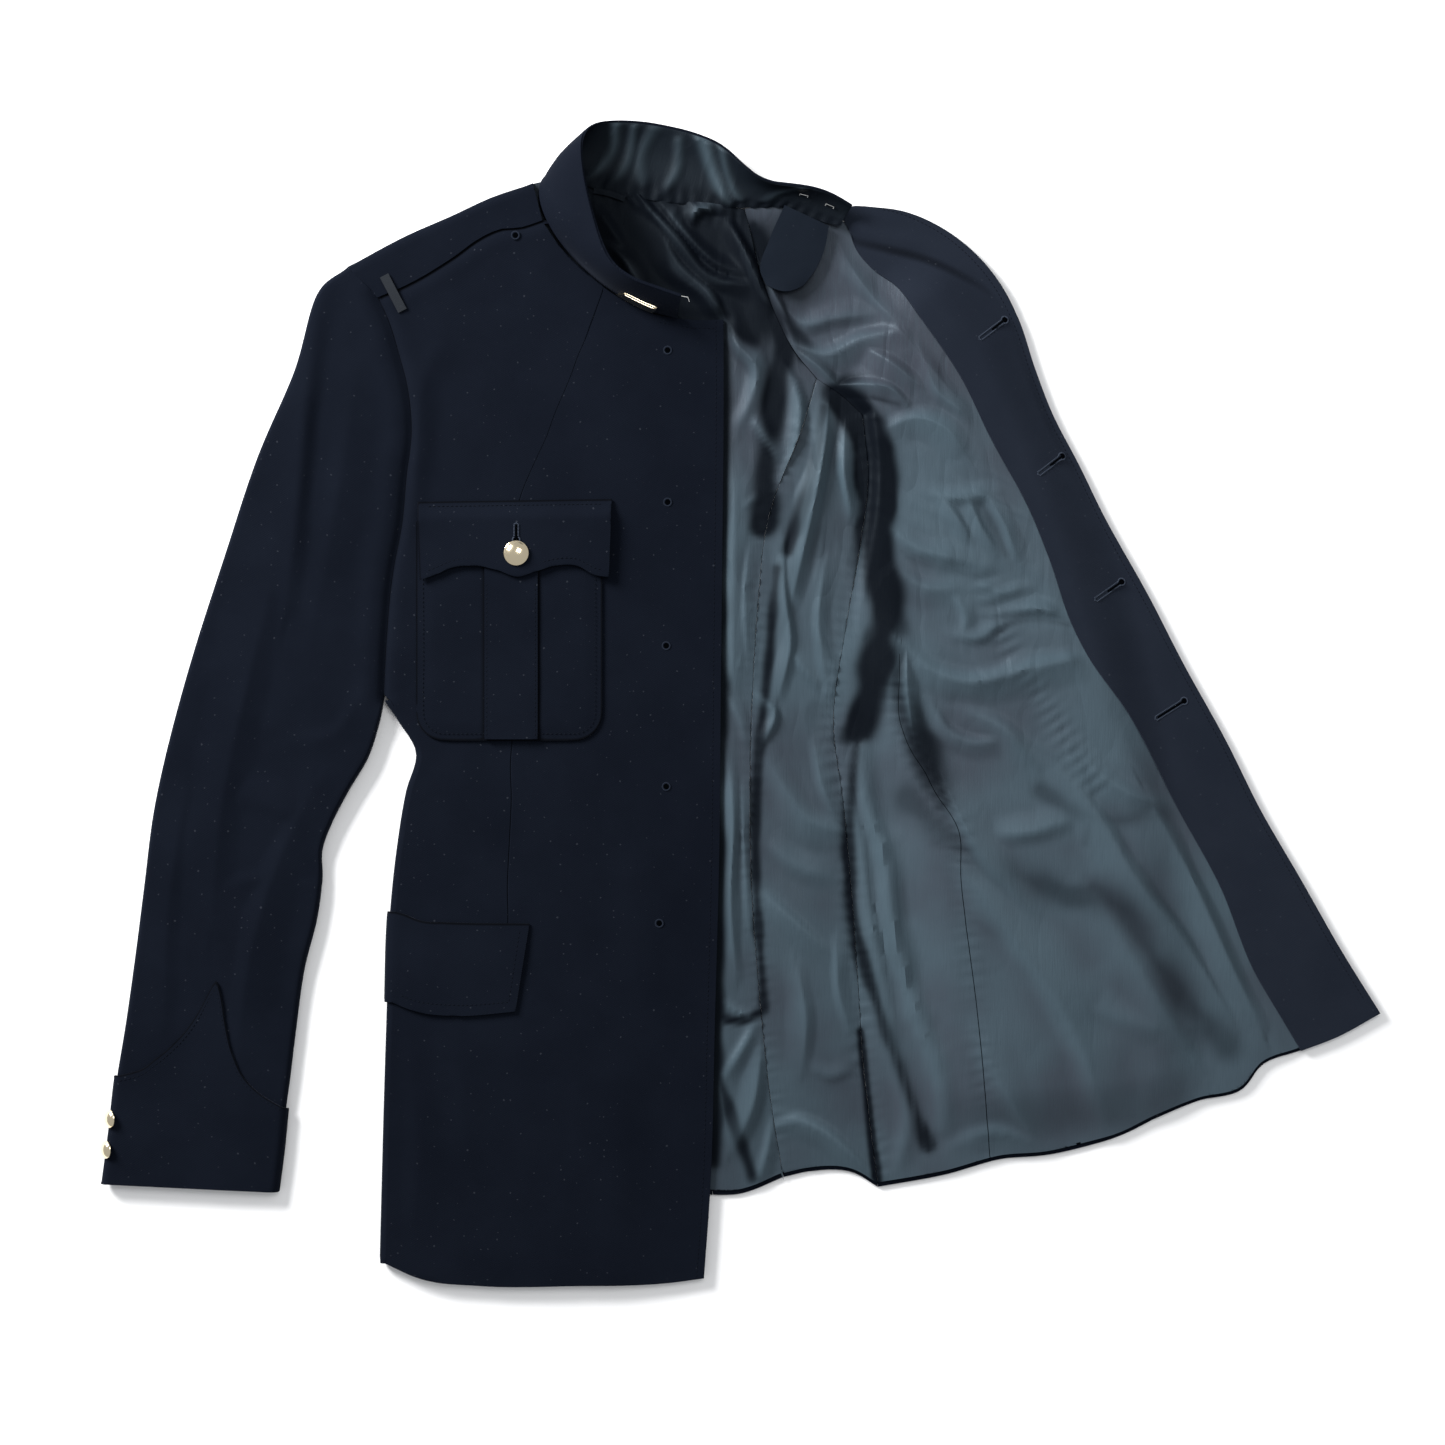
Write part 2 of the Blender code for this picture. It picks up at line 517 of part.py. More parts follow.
def right_front():
    """The right front, turned under along the side fold."""
    left = np.vstack([smooth_line(SIDE_FOLD, SIDE_ROWS), armhole_line()[1:]])
    start = left.copy()
    start[:SIDE_ROWS + 1, 0] += FOLD_OUTSIDE[-1]["away"]
    start[SIDE_ROWS + 1:, 0] += SEAM
    right = chain((FRONT_EDGE, EDGE_ROWS), (NECKLINE, NECK_ROWS))
    head = halved(shifted(smooth_line(SHOULDER_SEAM, HIDDEN_COLUMNS), -SEAM))
    foot = smooth_line([tuple(start[0])] + FRONT_HEM, FRONT_COLUMNS)
    grid = patch(foot, head, start, right)
    under = raised(grid, front_height(grid))
    over = raised(grid, front_top(grid))
    turn = []
    for profile in (FOLD_INSIDE, FOLD_OUTSIDE):
        seam = dict(away=SIDE_TURN, height=profile[0]["height"])
        turn.append(np.hstack([raised(left[:, None] + (point["away"], 0), point["height"])
                               for point in [seam] + profile[:-1]]))
    turned_columns = len(FOLD_OUTSIDE)
    cloth("front_right", np.hstack([turn[0], under]), np.hstack([turn[1], over]), "wool",
          keep=lambda row, column: column >= turned_columns or row < SIDE_ROWS)


def back_grid():
    """The whole back between the right side seam and the seam by the left side panel."""
    left = np.vstack([smooth_line(SIDE_FOLD, SIDE_ROWS), armhole_line()[1:], SHOULDER_POINT])
    left[:SIDE_ROWS + 1, 0] += SIDE_TURN + GAP
    left[SIDE_ROWS + 1:, 0] += SEAM
    right = shifted(chain((BACK_SIDE_SEAM, SEAM_ROWS), (VALLEY_EDGE, VALLEY_ROWS)), SEAM)
    foot = chain((BACK_HEM_HIDDEN, HIDDEN_COLUMNS), (BACK_HEM_SHOWN, SHOWN_COLUMNS))
    head = chain((SHOULDER_FOLD, HIDDEN_COLUMNS), (BACK_NECK, SHOWN_COLUMNS))
    return patch(between(left[0], foot, right[0]), between(left[-1], head, right[-1]), left, right)


def side_grid():
    """The left side panel, between the back and the vent seam."""
    left = shifted(smooth_line(BACK_SIDE_SEAM, SEAM_ROWS), -SEAM)
    right = shifted(smooth_line(VENT_SEAM, SEAM_ROWS), SEAM)
    foot = between(left[0], smooth_line(SIDE_HEM, SIDE_COLUMNS), right[0])
    head = between(left[-1], shifted(smooth_line(UNDERARM[::-1], SIDE_COLUMNS), -SEAM), right[-1])
    return patch(foot, head, left, right)


def left_grid():
    """The open left front, from the vent seam over the facing seam to the front edge."""
    rows = SEAM_ROWS + UNDERARM_ROWS + VALLEY_ROWS
    left = chain((VENT_SEAM, SEAM_ROWS), (UNDERARM, UNDERARM_ROWS), (VALLEY_EDGE, VALLEY_ROWS))
    left = shifted(left, -SEAM)
    middle = smooth_line(FACING_SEAM, rows)
    edge = smooth_line(LEFT_EDGE, rows)
    grids = []
    even = np.linspace(0, 1, FACING_COLUMNS + 1)
    for hem, neck, first, last, shares in ((LEFT_HEM, LEFT_NECK, left, middle, LINING_SHARES),
                                           (FACING_HEM, EDGE_NECK, middle, edge, even)):
        foot = between(first[0], smooth_line(hem, shares), last[0])
        head = between(first[-1], smooth_line(neck, shares), last[-1])
        grids.append(patch(foot, head, first, last, shares))
    return np.hstack([grids[0], grids[1][:, 1:]])


def left_drape(grid):
    """Underside of the open left front: on the floor, and up over the sleeve that lies beneath it."""
    outline = np.array([row["outer"] for row in LEFT_SLEEVE] + [row["inner"] for row in LEFT_SLEEVE[::-1]])
    away, _ = distance_to_line(grid, np.vstack([outline, outline[:1]]))
    away = np.where(inside(grid, outline), 0, away)
    lift = LEFT_DRAPE_HEIGHT * (1 - ease((away - LEFT_DRAPE_MARGIN) / LEFT_DRAPE_REACH))
    lift[:, 0] = 0
    lift[:, -1] = 0
    return lift


def back_shell(grid):
    """Right and left back. The right one turns over the shoulder to the shoulder seam."""
    flat = raised(grid, 0)
    right = flat[:, :CENTRE_BACK + 1].copy()
    right[:, -1, 0] -= SEAM
    right = np.vstack([right[:-1], towards(right[-1], right[-2], SHOULDER_FLAT)[None], right[-1:]])
    fold = grid[-1, :HIDDEN_COLUMNS + 1]
    seam = shifted(smooth_line(SHOULDER_SEAM, HIDDEN_COLUMNS), SEAM)
    skins = []
    for profile, wall in ((FOLD_OUTSIDE, 0), (FOLD_INSIDE, WOOL)):
        rows = [raised(towards(fold, seam, point["away"])[None], point["height"]) for point in profile[1:]]
        rows += [raised(line[None], profile[-1]["height"]) for line in ((fold + seam) / 2, seam)]
        skin = np.vstack([right + wall * UP, np.zeros((len(rows) - 1, *right.shape[1:]))])
        skin[len(right) - 1:, :HIDDEN_COLUMNS + 1] = np.vstack(rows)
        skins.append(skin)
    last_flat = len(right) - 1
    cloth("back_right", skins[0], skins[1], "wool",
          keep=lambda row, column: row < last_flat or column < HIDDEN_COLUMNS)
    left = flat[:, CENTRE_BACK:].copy()
    left[:, 0, 0] += SEAM
    cloth("back_left", left, left + WOOL * UP, "wool")


def back_lining(grid):
    """The back's lining, with folds where the right front leaves it open."""
    pulled = grid.copy()
    pulled[-1] = towards(grid[-1], grid[-2], LINING_SHOULDER)
    pulled[0] = towards(grid[0], grid[1], HEM_SHOW)
    pulled[:, 0, 0] += LINING_SIDE
    cover = np.vstack([
        chain((FRONT_EDGE, EDGE_ROWS), (NECKLINE, NECK_ROWS), (SHOULDER_SEAM[::-1], COVER_STEPS)),
        smooth_line(ARMHOLE[::-1], COVER_STEPS), smooth_line(SIDE_FOLD[::-1], COVER_STEPS), FRONT_HEM])
    away, _ = distance_to_line(pulled, cover[:EDGE_ROWS + NECK_ROWS + 1])
    clear = np.where(inside(pulled, cover), 0, ease((away - FRONT_CLEARANCE) / FOLD_START))
    low = WOOL + GAP + fold_heights(pulled, BACK_LINING_FOLDS) * clear
    low[-1] = WOOL + GAP
    cloth("lining_back", raised(pulled, low), raised(pulled, low + LINING), "satin")


def side_panel():
    """The left side panel and its lining."""
    grid = side_grid()
    cloth("side_left", raised(grid, 0), raised(grid, WOOL), "wool")
    pulled = grid.copy()
    pulled[0] = towards(grid[0], grid[1], HEM_SHOW)
    low = WOOL + GAP + fold_heights(pulled, SIDE_LINING_FOLDS)
    cloth("lining_side_left", raised(pulled, low), raised(pulled, low + LINING), "satin")


def left_front():
    """The open left front: shell, lining and facing, all from one grid."""
    grid = left_grid()
    low = left_drape(grid)
    cloth("front_left", raised(grid, low), raised(grid, low + WOOL), "wool")
    lining = raised(grid, low + WOOL + GAP)[:, :LINING_COLUMNS + 1]
    lining[:, -1, 0] -= SEAM
    lining[0] = towards(lining[0], lining[1], HEM_SHOW) + GAP * UP
    lining[:, :-1, 2] += fold_heights(lining, LEFT_LINING_FOLDS)[:, :-1]
    cloth("lining_front_left", lining, lining + LINING * UP, "satin")
    facing = grid[:, LINING_COLUMNS:].copy()
    facing[:, 0, 0] += SEAM
    bottom = low[:, LINING_COLUMNS:] + WOOL + GAP
    cloth("facing_left", raised(facing, bottom), raised(facing, bottom + FACING), "wool")


# Sleeves and cuffs

SLEEVE_COLUMNS = ARMHOLE_ROWS + 6   # points over a sleeve's top and both its rounded edges


def mouth_line():
    """The corners of the armhole from the shoulder point to the underarm, and each one's share of it."""
    line = np.vstack([SHOULDER_POINT, armhole_line()[::-1]])
    run = np.r_[0, np.cumsum(np.linalg.norm(np.diff(line, axis=0), axis=1))]
    return line, run / run[-1]


def across_sleeve(row, shares):
    """Points from a sleeve's outer to its inner edge, bowed like the armhole near its top."""
    outer, inner = np.array(row["outer"], float), np.array(row["inner"], float)
    line, own = mouth_line()
    straight = line[0] + own[:, None] * (line[-1] - line[0])
    bulge = (line - straight) * row.get("bow", 0.0)
    shift = np.column_stack([np.interp(shares, own, bulge[:, axis]) for axis in (0, 1)])
    return outer + np.asarray(shares)[:, None] * (inner - outer) + shift


def sleeve_section(row, height, wall):
    """One ring of a flattened sleeve, drawn in by wall: over the top, round the edge, back beneath."""
    width = np.linalg.norm(np.array(row["outer"]) - np.array(row["inner"]))
    corner = SLEEVE_ROUND / width
    near = SLEEVE_EDGE / width
    inset = wall / width
    _, own = mouth_line()
    flat = [corner + inset] + list(own[1:-1]) + [1 - corner - inset]
    shares = [inset, near + inset] + flat + [1 - near - inset, 1 - inset]
    top, low, middle = height - wall, wall, height / 2
    lean = (top - middle) * SLEEVE_SHOULDER
    levels = [middle, middle + lean] + [top] * len(flat) + [middle + lean, middle]
    shares += [1 - near - inset] + flat[::-1] + [near + inset]
    levels += [middle - lean] + [low] * len(flat) + [middle - lean]
    points = across_sleeve(row, np.array(shares))
    return np.column_stack([points, levels])


def right_sleeve_sections(wall):
    """Rings of the right sleeve from the armhole to the cuff."""
    rings = [sleeve_section(row, row["height"], wall) for row in RIGHT_SLEEVE]
    rings[0][:, 0] -= SEAM
    return rings


def sleeves():
    """Both sleeves, as flattened tubes open at armhole and cuff."""
    outer, inner = right_sleeve_sections(0), right_sleeve_sections(WOOL)
    tube("sleeve_right", np.array(outer + inner[::-1]), "wool")
    outer = [sleeve_section(row, LEFT_SLEEVE_HEIGHT, 0) for row in LEFT_SLEEVE]
    inner = [sleeve_section(row, LEFT_SLEEVE_HEIGHT, WOOL) for row in LEFT_SLEEVE]
    tube("sleeve_left", np.array(outer + inner[::-1]), "wool")


def right_cuff():
    """The pointed cuff on the right sleeve, made from the sleeve's own points, moved out."""
    rings = np.array(right_sleeve_sections(0))[::-1]
    middle = rings[:, SLEEVE_COLUMNS // 2, :2]
    run = np.r_[0, np.cumsum(np.linalg.norm(np.diff(middle, axis=0), axis=1))]
    first, last = rings[0, 0, :2], rings[0, SLEEVE_COLUMNS - 1, :2]
    width = np.linalg.norm(last - first)
    share_of, reach_of = zip(*CUFF_EDGE)
    flat = [UP] * (SLEEVE_COLUMNS - 4)
    outward = np.array([(-1, 0, 0), (-SLANT, 0, SLANT), *flat, (SLANT, 0, SLANT), (1, 0, 0)])
    skins = []
    for lift in (REST, REST + FLAP_WALL):
        skin = np.zeros((CUFF_STEPS + 1, SLEEVE_COLUMNS, 3))
        for column in range(SLEEVE_COLUMNS):
            share = np.linalg.norm(rings[0, column, :2] - first) / width
            reach = np.interp(share, share_of, reach_of)
            for step in range(CUFF_STEPS + 1):
                place = reach * step / CUFF_STEPS
                skin[step, column] = [np.interp(place, run, rings[:, column, axis]) for axis in range(3)]
        skins.append(skin + outward[None] * lift)
    cloth("cuff_right", skins[0], skins[1], "wool")


# Collar and what is on it

def collar_points(outward, around=(0.0, 1.0, COLLAR_STEPS), up=(0.0, 1.0, COLLAR_ROWS)):
    """A grid on the collar, moved outward from its middle face. Around and up say first, last and steps."""
    seam_knots = np.array([row["seam"] for row in COLLAR], float)
    edge_knots = np.array([row["edge"] for row in COLLAR], float)
    run = np.r_[0, np.cumsum(np.linalg.norm(np.diff(seam_knots, axis=0), axis=1))]
    fine = np.linspace(0, 1, COLLAR_FINE + 1)
    seam, edge = (np.column_stack([np.interp(fine, run / run[-1], knots[:, axis]) for axis in range(3)])
                  for knots in (seam_knots, edge_knots))
    for line in (seam, edge):
        for _ in range(COLLAR_SMOOTHING):
            line[1:-1] = (line[:-2] + 2 * line[1:-1] + line[2:]) / 4
    share = np.linspace(up[0], up[1], up[2] + 1)[:, None, None]
    middle = seam[None] * (1 - share) + edge[None] * share
    normal = np.cross(edge - seam, np.gradient(middle[0], axis=0))
    normal /= np.linalg.norm(normal, axis=1)[:, None]
    surface = middle + normal[None] * (outward + COLLAR_BOW * np.sin(np.pi * share))
    wanted = np.linspace(around[0], around[1], around[2] + 1)
    return np.array([np.column_stack([np.interp(wanted, fine, row[:, axis]) for axis in range(3)])
                     for row in surface])


def collar():
    """The stand collar, its lining, the plain bar on it, its hook and its eyes."""
    cloth("collar", collar_points(0), collar_points(WOOL), "wool")
    lined = (0.0, LINING_REACH, COLLAR_ROWS)
    cloth("collar_lining", collar_points(-GAP - LINING, up=lined), collar_points(-GAP, up=lined), "satin")
    back = WOOL + BAR["lift"]
    face = back + BAR["wall"]
    cloth("collar_bar", collar_points(back, **BAR_PLACE), collar_points(face, **BAR_PLACE), "gilt")
    satin = -GAP - LINING - GAP
    tip = collar_points(satin - HOOK_CLEAR * HOOK_WIRE, **HOOK_PLACE)[0]
    wire("collar_hook", [*tip[2::-1], *(tip[0] + HOOK_BEND)], HOOK_WIRE, "steel")
    for index, place in enumerate(EYE_PLACES, 1):
        spot = collar_points(satin - EYE_CLEAR * EYE_WIRE, **place)
        wire(f"collar_eye_{index}", [spot[0, 0], spot[2, 0], spot[2, 2], spot[0, 2]], EYE_WIRE, "steel")


# Pockets, loops, tab and buttons

def on_front(points, lift):
    """Grid points (x, y) laid on the right front, lifted off it. Lift is a number or a grid."""
    return raised(points, front_top(points) + lift)


def chest_pocket():
    """The patch pocket, the box pleat on it, its scalloped flap and its button."""
    size = CHEST_POCKET
    corner = size["corner"]
    turn = np.radians([0, 30, 60, 90])
    foot_x = size["left"] + corner * (1 - np.cos(turn))
    left_half = [(x, size["bottom"] + corner * (1 - np.sin(angle))) for x, angle in zip(foot_x, turn)]
    middle = [(PLEAT["left"], size["bottom"]), (PLEAT["right"], size["bottom"])]
    mirror = size["left"] + size["right"]
    foot = np.array(left_half + middle + [(mirror - x, y) for x, y in left_half[::-1]], float)
    grid = np.array([np.column_stack([foot[:, 0], foot[:, 1] + (size["top"] - foot[:, 1]) * share])
                     for share in np.linspace(0, 1, POCKET_ROWS + 1)])
    cloth("chest_pocket", on_front(grid, REST), on_front(grid, REST + POCKET_WALL), "wool")
    on_bag = REST + POCKET_WALL + GAP
    low, high = size["bottom"] + PLEAT_INSET, size["top"] - PLEAT_INSET
    pleat = np.array([[(x, y) for x in np.linspace(PLEAT["left"], PLEAT["right"], 3)]
                      for y in np.linspace(low, high, POCKET_ROWS + 1)])
    cloth("chest_pocket_pleat", on_front(pleat, on_bag), on_front(pleat, on_bag + PLEAT_WALL), "wool")
    over_pleat = on_bag + PLEAT_WALL + GAP
    head, foot = (smooth_line(line, CHEST_FLAP["columns"]) for line in (FLAP_TOP, FLAP_FOOT))
    sides = (smooth_line([foot[index], head[index]], CHEST_FLAP["rows"]) for index in (0, -1))
    flap = patch(foot, head, *sides)
    slope = ease((head[None, :, 1] - flap[:, :, 1]) / (FLAP_TOP[0][1] - size["top"]))
    lift = REST + (over_pleat - REST) * slope
    cloth("chest_pocket_flap", on_front(flap, lift), on_front(flap, lift + FLAP_WALL), "wool")
    seat = on_front(np.array([[CHEST_BUTTON]], float), over_pleat + FLAP_WALL + REST)[0, 0]
    turned("chest_pocket_button", dome(**BUTTON), seat, UP, "gilt", BUTTON_STEPS)


def lower_pocket_flap():
    """The flap of the lower pocket, which follows the right front over its side fold."""
    head, foot = (smooth_line(line, LOWER_FLAP["columns"]) for line in (LOWER_FLAP_TOP, LOWER_FLAP_FOOT))
    sides = (smooth_line([foot[index], head[index]], LOWER_FLAP["rows"]) for index in (0, -1))
    flap = patch(foot, head, *sides)
    fold = smooth_line(SIDE_FOLD[:FOLD_ABOVE_FLAP], SIDE_FOLD_STEPS)
    edge = np.column_stack([np.interp(flap[:, 0, 1], fold[:, 1], fold[:, 0]), flap[:, 0, 1] + FLAP_DROP])
    skins = []
    for lift in (REST, REST + FLAP_WALL):
        turned_over = [raised(edge[:, None] + (point["away"] - lift * out, 0),
                              point["height"] + lift * rise)
                       for point, (out, rise) in zip(FOLD_OUTSIDE[2:], ((1, 0), (SLANT, SLANT), (0, 1)))]
        skins.append(np.hstack([*turned_over, on_front(flap, lift)]))
    cloth("lower_pocket_flap", skins[0], skins[1], "wool")


def strip(name, line, width, height, finish_name):
    """A narrow band along a line, lying at the given height."""
    middle = smooth_line(line, STRIP_STEPS)
    grid = raised(np.stack([shifted(middle, width / 2), shifted(middle, -width / 2)], axis=1), height)
    cloth(name, grid, grid + LOOP_WALL * UP, finish_name)


def small_pieces():
    """The shoulder loop, the hanger loop, the collar tab and the cuff buttons."""
    strip("shoulder_loop", SHOULDER_LOOP, LOOP_WIDTH, BODY_HEIGHT + GAP, "ribbon")
    strip("hanger_loop", HANGER_LOOP, HANGER_WIDTH, WOOL + GAP + LINING + GAP, "satin")
    left, right = (smooth_line(COLLAR_TAB[side], TAB_ROWS) for side in ("left", "right"))
    grid = left[:, None] + np.linspace(0, 1, TAB_COLUMNS + 1)[:, None] * (right - left)[:, None]
    grid[-1, 1:-1, 1] -= TAB_ROUND
    cloth("collar_tab", raised(grid, TAB_HEIGHT), raised(grid, TAB_HEIGHT + WOOL), "wool")
    cuff_edge = np.array([ring[0] for ring in right_sleeve_sections(0)])[::-1]
    face = dome(CUFF_BUTTON["radius"], CUFF_BUTTON["height"])
    for index, y in enumerate(CUFF_BUTTON_PLACES, 1):
        seat = (np.interp(y, cuff_edge[:, 1], cuff_edge[:, 0]), y, CUFF_BUTTON["level"])
        turned(f"cuff_button_{index}", face, seat, CUFF_BUTTON["turn"], "gilt", CUFF_BUTTON_STEPS)


def main():
    clear_scene()
    grid = back_grid()
    back_shell(grid)
    back_lining(grid)
    side_panel()
    left_front()
    right_front()
    sleeves()
    right_cuff()
    collar()
    chest_pocket()
    lower_pocket_flap()
    small_pieces()


main()
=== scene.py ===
# %% [markdown]
# A dress uniform jacket, laid flat with one front thrown open. The wearer's right front lies closed
# over the back. The left front is folded away to the other side, so its satin lining, its wool facing
# and its buttonholes face up. The real jacket is cut from dark navy wool and lined with a satin whose
# warp and weft have different colours. The imported solids give every piece its place. This script
# remakes the cloth as thin sheets with finer folds, seams and stitches, and gives it its colours.

# %% [markdown]
# Load the solids first.

# %% Load the solids
import bmesh
import bpy
import numpy as np
from mathutils import Matrix, Vector, kdtree


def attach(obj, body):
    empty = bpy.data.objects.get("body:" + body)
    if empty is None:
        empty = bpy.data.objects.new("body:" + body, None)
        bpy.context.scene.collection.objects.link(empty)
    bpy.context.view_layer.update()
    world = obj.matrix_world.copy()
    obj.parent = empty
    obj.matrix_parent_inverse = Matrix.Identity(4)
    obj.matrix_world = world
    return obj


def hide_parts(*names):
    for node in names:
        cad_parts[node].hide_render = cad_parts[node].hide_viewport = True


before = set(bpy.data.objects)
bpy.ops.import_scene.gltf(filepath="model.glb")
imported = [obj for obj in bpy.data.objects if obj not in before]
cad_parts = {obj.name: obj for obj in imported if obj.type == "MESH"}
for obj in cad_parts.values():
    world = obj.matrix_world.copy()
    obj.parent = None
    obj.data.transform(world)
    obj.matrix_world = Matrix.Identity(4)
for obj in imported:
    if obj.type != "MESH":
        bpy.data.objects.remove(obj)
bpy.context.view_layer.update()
MM = 0.001
UP = np.array((0.0, 0.0, 1.0))

# %% [markdown]
# Shader maths reads best as ordinary sums. The class below wraps one output socket of a node tree, and
# each operator adds the Math node that does that sum.

# %% Shader values
class Value:
    """One number or colour that a node gives, with ordinary operators."""
    def __init__(self, tree, socket):
        self.tree, self.socket = tree, socket

    def math(self, operation, *others):
        step = self.tree.nodes.new("ShaderNodeMath")
        step.operation = operation
        for place, value in zip(step.inputs, (self, *others)):
            Value.join(self.tree, value, place)
        return Value(self.tree, step.outputs[0])

    @staticmethod
    def join(tree, value, place):
        if isinstance(value, Value):
            tree.links.new(value.socket, place)
        else:
            place.default_value = value

    def node(self, kind, output=0, settings=None, **sockets):
        """Any other node: its settings first, then its sockets by name."""
        step = self.tree.nodes.new(kind)
        for name, value in (settings or {}).items():
            setattr(step, name, value)
        for name, value in sockets.items():
            label = name.replace("_", " ")
            place = step.inputs[int(name[1:])] if name[0] == "n" and name[1:].isdigit() else step.inputs[label]
            Value.join(self.tree, value, place)
        return Value(self.tree, step.outputs[output])

    def __add__(self, other):
        return self.math("ADD", other)

    def __sub__(self, other):
        return self.math("SUBTRACT", other)

    def __mul__(self, other):
        return self.math("MULTIPLY", other)

    def __truediv__(self, other):
        return self.math("DIVIDE", other)

    def __radd__(self, other):
        return self + other

    def __rmul__(self, other):
        return self * other

    def __rsub__(self, other):
        return self * -1.0 + other

    def sine(self):
        return self.math("SINE")

    def power(self, other):
        return self.math("POWER", other)

    def size(self):
        return self.math("ABSOLUTE")

    def within(self, low, high):
        """0 below low, 1 above high, smooth between."""
        return self.node("ShaderNodeMapRange", settings={"interpolation_type": "SMOOTHSTEP"},
                         Value=self, From_Min=low, From_Max=high)

    def mix(self, first, second):
        """The first colour where this is 0, the second where it is 1."""
        return self.node("ShaderNodeMix", 2, {"data_type": "RGBA"}, n0=self, n6=first, n7=second)


def material(name, **constants):
    """A new Principled material, with constants set on its shader's own sockets."""
    made = bpy.data.materials.new(name)
    made.use_nodes = True
    shader = made.node_tree.nodes["Principled BSDF"]
    for label, value in constants.items():
        shader.inputs[label.replace("_", " ")].default_value = value
    return made, made.node_tree, shader


def mark(tree, name):
    """A number that the mesh stores at each point."""
    step = tree.nodes.new("ShaderNodeAttribute")
    step.attribute_name = name
    return Value(tree, step.outputs["Fac"])


def cloth_place(tree):
    """Where a point lies on the cloth, in metres along its two threads."""
    step = tree.nodes.new("ShaderNodeUVMap")
    step.uv_map = "cloth"
    return Value(tree, step.outputs[0])


def noise(place, scale, detail=2.0, roughness=0.5):
    return place.node("ShaderNodeTexNoise", Vector=place, Scale=scale, Detail=detail, Roughness=roughness)


# %% [markdown]
# The wool is a fine twill. Its diagonal ribs are only half a millimetre apart, so from above they give
# a soft grain. A slight nap catches the light, and a little lint lies on it.

# %% Wool
def wool_material(name, dark, light, sheen):
    made, tree, shader = material(name, Roughness=0.85, Sheen_Weight=sheen, Sheen_Roughness=0.4,
                                  Sheen_Tint=(0.6, 0.7, 0.95, 1), Specular_IOR_Level=0.03)
    place = cloth_place(tree)
    axes = place.tree.nodes.new("ShaderNodeSeparateXYZ")
    tree.links.new(place.socket, axes.inputs[0])
    u, v = Value(tree, axes.outputs[0]), Value(tree, axes.outputs[1])
    ribs = ((u * 0.86 + v * 0.5) * 7400.0).sine() * 0.5 + 0.5
    cross = ((v * 0.86 - u * 0.5) * 5200.0).sine() * 0.5 + 0.5
    grain = noise(place, 1500.0, 1.0)
    wear = noise(place, 14.0, 4.0, 0.6)
    lint = noise(place, 420.0, 0.0).within(0.8, 0.84)
    seam = mark(tree, "seam")
    tone = ribs * 0.3 + cross * 0.12 + grain * 0.5 + wear.within(0.3, 0.7) * 0.2 - 0.24
    colour = tone.mix((*dark, 1), (*light, 1))
    # Painted shade: near black along the seam mark, in seam grooves, beside the pocket pleat and under the flap and
    # cuff edges.
    colour = (seam.within(0.2, 0.75) * 0.85).mix(colour, (0.001, 0.0013, 0.0022, 1))
    colour = (lint * 0.15).mix(colour, (0.09, 0.1, 0.12, 1))
    Value.join(tree, colour, shader.inputs["Base Color"])
    bump = place.node("ShaderNodeBump", Strength=0.35, Distance=0.0004, Height=ribs * 0.5 + grain * 0.6 + cross * 0.2)
    Value.join(tree, bump, shader.inputs["Normal"])
    return made


# Painted light: lighter copies of the same navy wool for the facing and the tab.
wool = wool_material("wool", (0.0018, 0.0028, 0.0058), (0.0062, 0.0086, 0.0148), 0.03)
lit_facing_wool = wool_material("lit_wool_facing", (0.0075, 0.0102, 0.0168), (0.017, 0.0215, 0.0315), 0.06)
lit_wool_tab = wool_material("lit_wool_tab", (0.0038, 0.0058, 0.0098), (0.0105, 0.0145, 0.0215), 0.05)
print("wool is ready")
